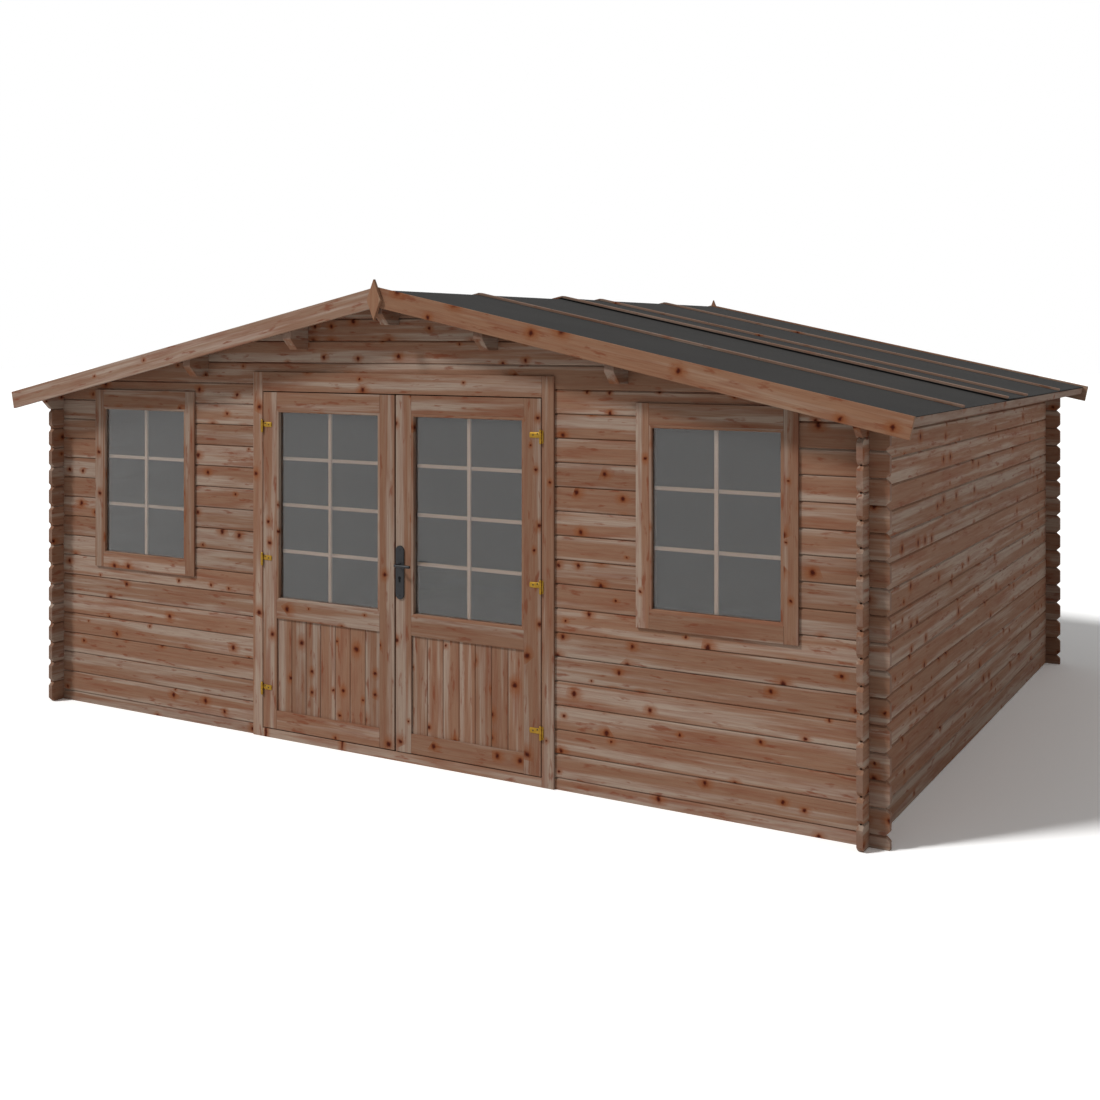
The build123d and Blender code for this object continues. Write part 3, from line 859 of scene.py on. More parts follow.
class RowTree:
    """Geometry Nodes tree that lays copies of one board in a row."""

    INPUTS = (
        ("Geometry", "NodeSocketGeometry"),
        ("Count", "NodeSocketInt"),
        ("First", "NodeSocketVector"),
        ("Step", "NodeSocketVector"),
        ("Seed", "NodeSocketInt"),
        ("Finish", "NodeSocketMaterial"),
    )

    def __init__(self) -> None:
        """Builds the tree."""
        self.tree = bpy.data.node_groups.new("Row_of_boards", "GeometryNodeTree")
        for name, kind in self.INPUTS:
            self.tree.interface.new_socket(name, in_out="INPUT", socket_type=kind)
        self.tree.interface.new_socket("Geometry", in_out="OUTPUT", socket_type="NodeSocketGeometry")
        given = add(self.tree, "NodeGroupInput").outputs
        line = add(
            self.tree,
            "GeometryNodeMeshLine",
            {"Count": given["Count"], "Start Location": given["First"], "Offset": given["Step"]},
            mode="OFFSET",
        )
        copies = add(
            self.tree,
            "GeometryNodeInstanceOnPoints",
            {"Points": line.outputs[0], "Instance": given["Geometry"]},
        )
        chance = add(self.tree, "FunctionNodeRandomValue", {"Seed": given["Seed"]}, data_type="FLOAT")
        marked = add(
            self.tree,
            "GeometryNodeStoreNamedAttribute",
            {"Geometry": copies.outputs[0], "Name": "board", "Value": chance.outputs["Value"]},
            data_type="FLOAT",
            domain="INSTANCE",
        )
        solid = add(self.tree, "GeometryNodeRealizeInstances", {0: marked.outputs[0]})
        painted = add(
            self.tree, "GeometryNodeSetMaterial", {0: solid.outputs[0], "Material": given["Finish"]}
        )
        add(self.tree, "NodeGroupOutput", {0: painted.outputs[0]})

    def lay(
        self,
        piece: bpy.types.Object,
        count: int,
        first: Vector,
        step: Vector,
        seed: int,
        finish: bpy.types.Material,
    ) -> bpy.types.Object:
        """Turns a piece into a row of copies, as one plain mesh.

        Args:
            piece: the first board, made round the origin, with its grain written.
            count: how many boards.
            first: place of the first board.
            step: way from one board to the next.
            seed: seed of the boards' random numbers.
            finish: their material.

        Returns:
            The same piece.
        """
        values = {"Count": count, "First": first, "Step": step, "Seed": seed, "Finish": finish}
        return settle(piece, self.tree, values)


class FastenerTree:
    """Geometry Nodes tree that sets a fastener on every point of a mesh, facing its own way."""

    INPUTS = (
        ("Geometry", "NodeSocketGeometry"),
        ("Fastener", "NodeSocketObject"),
        ("Seed", "NodeSocketInt"),
        ("Finish", "NodeSocketMaterial"),
    )

    def __init__(self) -> None:
        """Builds the tree."""
        self.tree = bpy.data.node_groups.new("Fasteners_on_points", "GeometryNodeTree")
        for name, kind in self.INPUTS:
            self.tree.interface.new_socket(name, in_out="INPUT", socket_type=kind)
        self.tree.interface.new_socket("Geometry", in_out="OUTPUT", socket_type="NodeSocketGeometry")
        given = add(self.tree, "NodeGroupInput").outputs
        head = add(self.tree, "GeometryNodeObjectInfo", {"Object": given["Fastener"]})
        facing = add(
            self.tree, "GeometryNodeInputNamedAttribute", {"Name": "facing"}, data_type="FLOAT_VECTOR"
        )
        turn = add(
            self.tree, "FunctionNodeRandomValue", {"Seed": given["Seed"], "Max": math.tau}, data_type="FLOAT"
        )
        spun = add(self.tree, "ShaderNodeCombineXYZ", {2: turn.outputs["Value"]})
        start = add(self.tree, "FunctionNodeEulerToRotation", {0: spun.outputs[0]})
        aimed = add(
            self.tree,
            "FunctionNodeAlignRotationToVector",
            {"Rotation": start.outputs[0], "Vector": facing.outputs["Attribute"]},
            axis="Z",
        )
        copies = add(
            self.tree,
            "GeometryNodeInstanceOnPoints",
            {"Points": given["Geometry"], "Instance": head.outputs["Geometry"], "Rotation": aimed.outputs[0]},
        )
        solid = add(self.tree, "GeometryNodeRealizeInstances", {0: copies.outputs[0]})
        painted = add(
            self.tree, "GeometryNodeSetMaterial", {0: solid.outputs[0], "Material": given["Finish"]}
        )
        add(self.tree, "NodeGroupOutput", {0: painted.outputs[0]})

    def drive(
        self,
        name: str,
        fastener: bpy.types.Object,
        places: Iterable[tuple[Vector, Vector]],
        finish: bpy.types.Material,
    ) -> bpy.types.Object:
        """Sets one kind of fastener at each place, as one plain mesh.

        Args:
            name: name of the new piece.
            fastener: the head, made round the origin and facing +Z.
            places: where each one sits, and which way it faces.
            finish: their material.

        Returns:
            The new piece.
        """
        spots = list(places)
        mesh = bpy.data.meshes.new(name)
        mesh.from_pydata([tuple(spot) for spot, _ in spots], [], [])
        facing = np.array([tuple(way) for _, way in spots], dtype=np.float32)
        mesh.attributes.new("facing", "FLOAT_VECTOR", "POINT").data.foreach_set("vector", facing.ravel())
        piece = bpy.data.objects.new(name, mesh)
        bpy.context.scene.collection.objects.link(piece)
        return settle(piece, self.tree, {"Fastener": fastener, "Seed": SEED, "Finish": finish})


def settle(piece: bpy.types.Object, tree: bpy.types.NodeTree, values: dict[str, Any]) -> bpy.types.Object:
    """Runs a node tree on a piece and keeps the result as a plain mesh.

    Args:
        piece: the object whose mesh goes in.
        tree: the Geometry Nodes tree.
        values: value of each named input.

    Returns:
        The same piece, with no modifier left.
    """
    modifier = piece.modifiers.new(tree.name, "NODES")
    modifier.node_group = tree
    sockets = {s.name: s.identifier for s in tree.interface.items_tree if s.in_out == "INPUT"}
    for name, value in values.items():
        modifier[sockets[name]] = value
    graph = bpy.context.evaluated_depsgraph_get()
    made = bpy.data.meshes.new_from_object(
        piece.evaluated_get(graph), preserve_all_data_layers=True, depsgraph=graph
    )
    piece.modifiers.clear()
    made.name = piece.name
    piece.data = made
    return piece


@dataclass
class Fasteners:
    """Heads of the nails and screws, made once and set by the node tree."""

    nail_radius: float = 3.2 * MM
    screw_radius: float = 4.0 * MM
    sides: int = 12
    lobe: float = 0.8       # makes the screw's recess a star
    tree: FastenerTree = field(default_factory=FastenerTree)

    def __post_init__(self) -> None:
        """Turns the profiles of the two heads."""
        nail = [(1.0, 0.0), (1.0, 0.25), (0.7, 0.4), (0.0, 0.45)]
        screw = [(1.0, 0.0), (1.0, 0.12), (0.8, 0.3), (0.42, 0.34), (0.36, 0.05), (0.0, 0.02)]
        self.nail = self.head("nail_head", nail, self.nail_radius)
        self.screw = self.head("screw_head", screw, self.screw_radius)

    def head(self, name: str, profile: Sequence[tuple[float, float]], radius: float) -> bpy.types.Object:
        """Turns one head about Z.

        Args:
            name: name of the pattern object.
            profile: radius and height of each ring, as shares of the head's radius, ending at the middle.
            radius: the head's radius.

        Returns:
            The pattern object, taken out of the scene.
        """
        bm = bmesh.new()
        rings = []
        for share, height in profile[:-1]:
            ring = []
            for i, angle in enumerate(turns(self.sides)):
                lobe = self.lobe if share < 0.5 and i % 2 else 1.0
                flat = share * lobe * radius
                ring.append(bm.verts.new((flat * math.cos(angle), flat * math.sin(angle), height * radius)))
            rings.append(ring)
        middle = bm.verts.new((0, 0, profile[-1][1] * radius))
        for low, high in zip(rings, rings[1:]):
            for i in range(self.sides):
                j = (i + 1) % self.sides
                bm.faces.new((low[i], low[j], high[j], high[i]))
        for i in range(self.sides):
            bm.faces.new((rings[-1][i], rings[-1][(i + 1) % self.sides], middle))
        bm.faces.new(rings[0][::-1])
        piece = new_piece(name, bm)
        bpy.context.scene.collection.objects.unlink(piece)
        return piece


# Roof


@dataclass(frozen=True)
class Slope:
    """One slope of the roof, read from the CAD boards."""

    side: Side
    apex: float
    length: float
    thickness: float = 18 * MM

    @classmethod
    def read(cls, side: Side) -> "Slope":
        """Reads a slope from its CAD boards.

        Args:
            side: which slope it is.

        Returns:
            The slope.
        """
        low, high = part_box(f"{side.value}_roof_boards")
        reach = high.x if side is Side.RIGHT else -low.x
        length = (reach - cls.thickness * math.sin(PITCH)) / math.cos(PITCH)
        return cls(side, high.z - cls.thickness / math.cos(PITCH), length)

    @property
    def tilt(self) -> float:
        """Turn about Y that lays a level board on this slope."""
        return self.side.sign * PITCH

    @property
    def normal(self) -> Vector:
        """Direction square to the slope, upwards."""
        return Vector((self.side.sign * math.sin(PITCH), 0, math.cos(PITCH)))

    def point(self, along: float, out: float, y: float) -> Vector:
        """A point of the slope.

        Args:
            along: distance down from the ridge.
            out: distance out from the underside of the boards.
            y: place along the ridge.

        Returns:
            The point in the cabin's frame.
        """
        x = along * math.cos(PITCH) + out * math.sin(PITCH)
        z = self.apex - along * math.sin(PITCH) + out * math.cos(PITCH)
        return Vector((self.side.sign * x, y, z))

    def battens(self) -> list[tuple[float, float]]:
        """Front and rear edge of each batten of the slope, read from the CAD node."""
        data = frame["nodes"][f"{self.side.value}_roof_battens"].data
        edges = sorted({round(v.co.y, 5) for v in data.vertices})
        return list(zip(edges[::2], edges[1::2]))


@dataclass
class Roof:
    """Boards, felt, battens, barge boards, finials, purlins and eave strips."""

    board_width: float = 96 * MM
    groove: float = 5 * MM
    joint: float = 0.6 * MM
    felt_thickness: float = 3 * MM
    backing: float = 2.2 * MM
    batten_thickness: float = 12 * MM
    lap_rise: float = 8.5 * MM
    lap_rest: float = 3.5 * MM
    lap_run: float = 600 * MM
    lap_lead: float = 10 * MM
    lap_width: float = 80 * MM
    lap_clearance: float = 0.3 * MM
    felt_wave: float = 0.4 * MM
    felt_steps: int = 36
    felt_step: float = 120 * MM
    nail_pitch: float = 300 * MM
    timber_easing: float = 2.5 * MM
    finial_easing: float = 2.0 * MM
    strip_easing: float = 1.5 * MM

    def build(self, wood: Carpenter, finishes: Finishes, rows: RowTree, fasteners: Fasteners) -> None:
        """Builds both slopes and what carries and edges them.

        Args:
            wood: cuts and dresses the boards and purlins.
            finishes: the cabin's materials.
            rows: lays the boards.
            fasteners: sets the nails.
        """
        trim = Carpenter(finishes.trim, drawn=100)
        pale = Carpenter(finishes.pale, drawn=200)
        strips = Carpenter(finishes.weathered, drawn=300)
        for side in Side:
            slope = Slope.read(side)
            self.boards(slope, wood, rows)
            self.felt(slope, finishes)
            self.battens(slope, strips)
            self.nails(slope, finishes, fasteners)
            for end in End:
                carpenter = pale if side is Side.LEFT else trim
                carpenter.eased(f"{end.value}_{side.value}_barge_board", self.timber_easing, slope.tilt)
            wood.eased(f"{side.value}_purlins", self.timber_easing)
        wood.eased("ridge_purlin", self.timber_easing)
        strips.eased("eave_strips", self.strip_easing)
        trim.eased("finials", self.finial_easing)

    def boards(self, slope: Slope, wood: Carpenter, rows: RowTree) -> None:
        """Tongued boards side by side from the front to the rear, grooved on the underside.

        Args:
            slope: the slope that they lie on.
            wood: dresses the boards.
            rows: lays the boards.
        """
        node = f"{slope.side.value}_roof_boards"
        low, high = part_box(node)
        count = round((high.y - low.y) / self.board_width)
        width = (high.y - low.y) / count
        half = (width - self.joint) / 2
        section = [(-half + self.groove, 0.0), (half - self.groove, 0.0), (half, self.groove)]
        section += [(half, slope.thickness), (-half, slope.thickness), (-half, self.groove)]
        plumb = math.tan(PITCH)
        bm = bmesh.new()
        ridge = [slope.point(-out * plumb, out, y) for y, out in section]
        eave = [slope.point(slope.length, out, y) for y, out in section]
        skin(bm, (ridge, eave))
        piece = new_piece(f"{slope.side.value}_roof_boarding", bm)
        write_grain(piece.data, slope.tilt, wood.next_seed(), per_board=False)
        first = Vector((0, low.y + width / 2, 0))
        rows.lay(piece, count, first, Vector((0, width, 0)), wood.next_seed(), wood.timber)
        dress(piece, wood.timber, "root")
        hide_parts(node)

    def lap(self, slope: Slope) -> float:
        """Place of the lap along the ridge, just before the second batten."""
        return slope.battens()[1][0] - self.lap_lead

    def lift(self, slope: Slope, y: float) -> float:
        """How far the rear sheet stands off the boards at a place along the ridge.

        Args:
            slope: the slope that it lies on.
            y: place along the ridge.

        Returns:
            Nothing before the lap, most right behind it, where several layers lie, and less further back.
        """
        past = (y - self.lap(slope)) / self.lap_run
        if past < 0:
            return 0.0
        return self.lap_rise + (self.lap_rest - self.lap_rise) * min(past, 1.0)

    def felt(self, slope: Slope, finishes: Finishes) -> None:
        """Two sheets of felt, the rear one lapped over the front one, with near-black bitumen at their edges:
        the felt's own core, which at the lap's lit front edge is also painted shade for the dark line there.

        Args:
            slope: the slope that it lies on.
            finishes: the cabin's materials.
        """
        name = slope.side.value
        low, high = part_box(f"{name}_roof_felt")
        outermost = high.x if slope.side is Side.RIGHT else -low.x
        reach = outermost - (slope.thickness + self.felt_thickness) * math.sin(PITCH)
        length = reach / math.cos(PITCH)
        lap = self.lap(slope)
        face, core = bmesh.new(), bmesh.new()
        for span in ((low.y, lap + self.lap_width), (lap, high.y)):
            rise = [0.0, 0.0] if span[0] < lap else [self.lap_rise, self.lap_rest]
            self.sheet(face, slope, span, length, (self.backing, self.felt_thickness), rise)
            self.sheet(core, slope, span, length, (self.lap_clearance, self.backing), rise)
        piece = dress(new_piece(f"{name}_felt_sheets", face), finishes.felt, "root")
        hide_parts(f"{name}_roof_felt")
        # Near-black core: the felt's bitumen, and painted shade where it darkens the lap's lit front edge.
        dress(new_piece(f"{name}_felt_backing", core), finishes.bitumen, "root")

    def battens(self, slope: Slope, wood: Carpenter) -> None:
        """The battens, those behind the lap lifted onto the thicker felt.

        Args:
            slope: the slope that they lie on.
            wood: cuts and dresses them.
        """
        piece = wood.eased(f"{slope.side.value}_roof_battens", self.strip_easing, slope.tilt)
        middles = [(y0 + y1) / 2 for y0, y1 in slope.battens()]
        for vertex in piece.data.vertices:
            middle = min(middles, key=lambda y: abs(y - vertex.co.y))
            vertex.co += slope.normal * self.lift(slope, middle)

    def sheet(
        self,
        bm: bmesh.types.BMesh,
        slope: Slope,
        span: tuple[float, float],
        length: float,
        depth: tuple[float, float],
        rise: Sequence[float],
    ) -> None:
        """One closed sheet with a gently uneven top.

        Args:
            bm: the mesh to add to.
            slope: the slope that it lies on.
            span: its front and rear edges.
            length: from the ridge to its lower edge.
            depth: height of its underside and of its upper face over the boards.
            rise: how much higher its front edge lies, and all of it past the lap's run.
        """
        base, top = depth
        steps_down, steps_back = self.felt_steps, max(6, int((span[1] - span[0]) / self.felt_step))
        rng = random.Random(SEED)
        waves = [(rng.uniform(2, 5), rng.uniform(2, 6), rng.uniform(0, math.tau)) for _ in range(4)]
        tops, bottoms = [], []
        for i in range(steps_down + 1):
            top_row, bottom_row = [], []
            for j in range(steps_back + 1):
                y = span[0] + (span[1] - span[0]) * j / steps_back
                past = min((y - span[0]) / self.lap_run, 1.0)
                lift = slope.thickness + rise[0] + (rise[1] - rise[0]) * past
                height = sum(math.sin(a * i / 6 + b * y + c) for a, b, c in waves) / len(waves)
                edge = i in (0, steps_down) or j in (0, steps_back)
                sink = 0.0 if edge else self.felt_wave * (1 + height) / 2
                for row, out in ((top_row, lift + top - sink), (bottom_row, lift + base - sink)):
                    first = -out * math.tan(PITCH)
                    along = first + (length - first) * i / steps_down
                    row.append(bm.verts.new(slope.point(along, out, y)))
            tops.append(top_row)
            bottoms.append(bottom_row)
        for i in range(steps_down):
            for j in range(steps_back):
                bm.faces.new((tops[i][j], tops[i + 1][j], tops[i + 1][j + 1], tops[i][j + 1]))
                bm.faces.new((bottoms[i][j], bottoms[i][j + 1], bottoms[i + 1][j + 1], bottoms[i + 1][j]))
        rim = [(i, 0) for i in range(steps_down)] + [(steps_down, j) for j in range(steps_back)]
        rim += [(steps_down - i, steps_back) for i in range(steps_down)]
        rim += [(0, steps_back - j) for j in range(steps_back)]
        for (i, j), (k, m) in zip(rim, rim[1:] + rim[:1]):
            bm.faces.new((tops[i][j], tops[k][m], bottoms[k][m], bottoms[i][j]))

    def nails(self, slope: Slope, finishes: Finishes, fasteners: Fasteners) -> None:
        """Nails along the middle of each batten.

        Args:
            slope: the slope that they lie on.
            finishes: the cabin's materials.
            fasteners: sets the nails.
        """
        top = slope.thickness + self.felt_thickness + self.batten_thickness
        count = int(slope.length / self.nail_pitch)
        spots = []
        for y0, y1 in slope.battens():
            middle = (y0 + y1) / 2
            out = top + self.lift(slope, middle)
            for i in range(count):
                spots.append((slope.point((i + 0.5) * self.nail_pitch, out, middle), slope.normal))
        name = f"{slope.side.value}_batten_nails"
        piece = fasteners.tree.drive(name, fasteners.nail, spots, finishes.zinc)
        dress(piece, finishes.zinc, "root")


# Walls


@dataclass
class LogWalls:
    """Four walls of planed logs with bevelled edges, crossed at the corners.

    The shoulders beside each log's tongue leave a narrow gap on both faces, and the slack over the
    tongue shows as a small hole in the ends.
    """

    easing: float = 1.0 * MM
    gap_height: float = 2.1 * MM
    gap_depth: float = 9.0 * MM
    shoulder: float = 8.5 * MM      # bevel on the top edge of each log, where the light catches
    slack_width: float = 8 * MM
    slack_height: float = 8 * MM
    slack_depth: float = 50 * MM

    def build(self, wood: Carpenter) -> None:
        """Replaces the plain logs by eased ones, each with its own wood.

        Args:
            wood: cuts and dresses the logs.
        """
        for wall in Wall:
            cutter = self.tongue_slack(wall)
            for courses in Courses:
                wood.eased(self.node(wall, courses), self.easing, cutter=cutter)
            bpy.data.objects.remove(cutter)

    def node(self, wall: Wall, courses: Courses) -> str:
        """Name of the CAD node with every second log of a wall."""
        return f"{wall.value}_wall_{courses.value}_logs"

    def tongue_slack(self, wall: Wall) -> bpy.types.Object:
        """Bars along both faces of every joint of a wall, and at its ends, to be cut out of the logs.

        Args:
            wall: which wall it is.

        Returns:
            The bars as one object.
        """
        low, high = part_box(self.node(wall, Courses.EVEN))
        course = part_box(self.node(Wall.LEFT, Courses.ODD))[0].z
        lengthwise, across = wall.along, wall.across
        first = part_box(self.node(wall, Courses.ODD))[0].z
        middle = (low + high) / 2
        reach = (high - low).dot(lengthwise) / 2
        half = (high - low).dot(across) / 2
        top = max(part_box(self.node(wall, courses))[1].z for courses in Courses)
        hole = lengthwise * self.slack_depth * 2 + across * self.slack_width
        hole += Vector((0, 0, self.slack_height))
        run = lengthwise * (reach + self.slack_depth)
        bm = bmesh.new()
        height = first
        while height < top:
            joint = Vector((middle.x, middle.y, height))
            for way in (-1, 1):
                place = Matrix.Translation(joint + lengthwise * reach * way) @ Matrix.Diagonal((*hole, 1.0))
                bmesh.ops.create_cube(bm, size=1.0, matrix=place)
                face = joint + across * half * way
                outline = [
                    face + across * way * out + Vector((0, 0, up))
                    for out, up in (
                        (self.shoulder, self.gap_height / 2),
                        (-self.gap_depth, self.gap_height / 2),
                        (-self.gap_depth, -self.gap_height / 2),
                        (-self.shoulder + self.gap_height / 2, -self.gap_height / 2),
                        (0.0, -self.shoulder),
                        (self.shoulder, -self.shoulder),
                    )
                ]
                skin(bm, ([p - run for p in outline], [p + run for p in outline]))
            height += course
        return new_piece("tongue_slack", bm)


# Joinery


@dataclass(frozen=True)
class Opening:
    """A glazed opening in a frame, read from the CAD pane."""

    x0: float
    x1: float
    z0: float
    z1: float
    face: float
    back: float
    pane_front: float
    pane_back: float

    @classmethod
    def read(cls, pane: str, surround: str) -> "Opening":
        """Reads an opening.

        Args:
            pane: name of the CAD pane.
            surround: name of a CAD node that holds it and shows its depth.

        Returns:
            The opening.
        """
        low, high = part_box(pane)
        outer_low, outer_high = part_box(surround)
        return cls(low.x, high.x, low.z, high.z, outer_low.y, outer_high.y, low.y, high.y)


@dataclass
class Glazing:
    """Beads and glazing bars round and behind one pane."""

    columns: int
    rows: int
    bead_width: float = 14 * MM
    bead_recess: float = 0.8 * MM
    bar_width: float = 19 * MM
    bar_gap: float = 0.8 * MM
    upright_depth: float = 10 * MM
    rail_width: float = 17 * MM
    rail_depth: float = 12 * MM
    chamfer: float = 3 * MM
    bar_easing: float = 1.5 * MM

    def beads(self, name: str, hole: Opening, body: str, wood: Carpenter) -> None:
        """Mitred beads on both sides of the pane.

        Args:
            name: start of the pieces' names.
            hole: the opening.
            body: the CAD body that it moves with.
            wood: dresses the beads.
        """
        bm = bmesh.new()
        w, c = self.bead_width, self.chamfer
        outside = hole.face + self.bead_recess
        inside = hole.back - self.bead_recess
        front, back = hole.pane_front, hole.pane_back
        for section in (
            [(0.0, outside), (w - c, outside), (w, outside + c), (w, front), (0.0, front)],
            [(0.0, back), (w, back), (w, inside - c), (w - c, inside), (0.0, inside)],
        ):
            corners = [(hole.x0, hole.z0), (hole.x1, hole.z0), (hole.x1, hole.z1), (hole.x0, hole.z1)]
            for (ax, az), (bx, bz) in zip(corners, corners[1:] + corners[:1]):
                self.stick(bm, Vector((ax, 0, az)), Vector((bx, 0, bz)), section)
        wood.finish(new_piece(f"{name}_glazing_beads", bm), body)

    def stick(
        self, bm: bmesh.types.BMesh, start: Vector, end: Vector, section: Sequence[tuple[float, float]]
    ) -> None:
        """One bead with mitred ends.

        Args:
            bm: the mesh to add to.
            start: a corner of the opening.
            end: the next corner, anticlockwise seen from the front.
            section: (distance into the opening, y) of each corner of its section.
        """
        along = (end - start).normalized()
        inward = Vector((-along.z, 0, along.x))
        near = [start + (inward + along) * t + Vector((0, y, 0)) for t, y in section]
        far = [end + (inward - along) * t + Vector((0, y, 0)) for t, y in section]
        skin(bm, (near, far))

    def bars(self, name: str, hole: Opening, body: str, wood: Carpenter, rows: RowTree) -> None:
        """Uprights against the pane and a row of rails across their backs.

        Args:
            name: start of the pieces' names.
            hole: the opening.
            body: the CAD body that it moves with.
            wood: dresses the bars.
            rows: lays the rails.
        """
        x0, x1 = hole.x0 + self.bead_width, hole.x1 - self.bead_width
        z0, z1 = hole.z0 + self.bead_width, hole.z1 - self.bead_width
        front = hole.pane_back + self.bar_gap
        bm = bmesh.new()
        for i in range(1, self.columns):
            x = x0 + (x1 - x0) * i / self.columns
            part = smooth_box(Vector((self.bar_width, self.upright_depth, z1 - z0)), self.bar_easing)
            spot = Vector((x, front + self.upright_depth / 2, (z0 + z1) / 2))
            bmesh.ops.translate(part, verts=part.verts[:], vec=spot)
            merge(bm, part)
        wood.finish(new_piece(f"{name}_upright_bars", bm), body)
        back = front + self.upright_depth
        bm = smooth_box(Vector((x1 - x0, self.rail_depth, self.rail_width)), self.bar_easing)
        spot = Vector(((x0 + x1) / 2, back + self.rail_depth / 2, 0))
        bmesh.ops.translate(bm, verts=bm.verts[:], vec=spot)
        piece = new_piece(f"{name}_rail_bars", bm)
        write_grain(piece.data, 0.0, wood.next_seed(), per_board=False)
        pitch = (z1 - z0) / self.rows
        first = Vector((0, 0, z0 + pitch))
        rows.lay(piece, self.rows - 1, first, Vector((0, 0, pitch)), wood.next_seed(), wood.timber)
        dress(piece, wood.timber, body)


def merge(bm: bmesh.types.BMesh, part: bmesh.types.BMesh) -> None:
    """Adds one bmesh to another and frees it.

    Args:
        bm: the mesh that grows.
        part: the mesh that is added.
    """
    mesh = bpy.data.meshes.new("part")
    part.to_mesh(mesh)
    part.free()
    bm.from_mesh(mesh)
    bpy.data.meshes.remove(mesh)


@dataclass
class Windows:
    """The two windows of the front wall."""

    glazing: Glazing = field(default_factory=lambda: Glazing(columns=2, rows=3))
    easing: float = 1.8 * MM

    def build(self, wood: Carpenter, bar_wood_painted_light: Carpenter, finishes: Finishes, rows: RowTree) -> None:
        """Builds the frames, beads, bars and panes.

        Args:
            wood: cuts and dresses the frames and beads.
            bar_wood_painted_light: dresses the bars.
            finishes: the cabin's materials.
            rows: lays the rails.
        """
        for side in Side:
            name = f"{side.value}_window"
            hole = Opening.read(f"{name}_glass", f"{name}_stiles")
            wood.eased(f"{name}_stiles", self.easing)
            wood.eased(f"{name}_rails", self.easing)
            self.glazing.beads(name, hole, "root", wood)
            self.glazing.bars(name, hole, "root", bar_wood_painted_light, rows)
            finish_node(f"{name}_glass", finishes.glass)


@dataclass
class DoubleDoor:
    """The frame and the two leaves, each with a glazed upper part and a boarded lower panel."""

    glazing: Glazing = field(default_factory=lambda: Glazing(columns=2, rows=4))
    easing: float = 1.8 * MM
    panel_board: float = 94 * MM
    groove: float = 3.0 * MM
    joint: float = 0.5 * MM

    def build(self, wood: Carpenter, bar_wood_painted_light: Carpenter, finishes: Finishes, rows: RowTree) -> None:
        """Builds the frame and both leaves.

        Args:
            wood: cuts and dresses the frame and leaves.
            bar_wood_painted_light: dresses the bars.
            finishes: the cabin's materials.
            rows: lays the rails and boards.
        """
        for node in ("door_posts", "door_head", "door_sill"):
            wood.eased(node, self.easing)
        for side in Side:
            leaf = f"{side.value}_leaf"
            hole = Opening.read(f"{leaf}_glass", f"{leaf}_stiles")
            wood.eased(f"{leaf}_stiles", self.easing)
            wood.eased(f"{leaf}_rails", self.easing)
            self.glazing.beads(leaf, hole, leaf, wood)
            self.glazing.bars(leaf, hole, leaf, bar_wood_painted_light, rows)
            self.panel(leaf, wood, rows)
            finish_node(f"{leaf}_glass", finishes.glass)

    def panel(self, leaf: str, wood: Carpenter, rows: RowTree) -> None:
        """Upright tongued boards in place of the plain panel, grooved on both faces.

        Args:
            leaf: the leaf's body.
            wood: dresses the boards.
            rows: lays the boards.
        """
        node = f"{leaf}_panel"
        low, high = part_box(node)
        count = round((high.x - low.x) / self.panel_board)
        width = (high.x - low.x) / count
        half = (width - self.joint) / 2
        g = self.groove
        section = [(-half, low.y + g), (-half + g, low.y), (half - g, low.y), (half, low.y + g)]
        section += [(half, high.y - g), (half - g, high.y), (-half + g, high.y), (-half, high.y - g)]
        bm = bmesh.new()
        skin(bm, [[Vector((x, y, z)) for x, y in section] for z in (low.z, high.z)])
        piece = new_piece(f"{leaf}_panel_boards", bm)
        write_grain(piece.data, 0.0, wood.next_seed(), per_board=False)
        first = Vector((low.x + width / 2, 0, 0))
        rows.lay(piece, count, first, Vector((width, 0, 0)), wood.next_seed(), wood.timber)
        dress(piece, wood.timber, leaf)
        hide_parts(node)


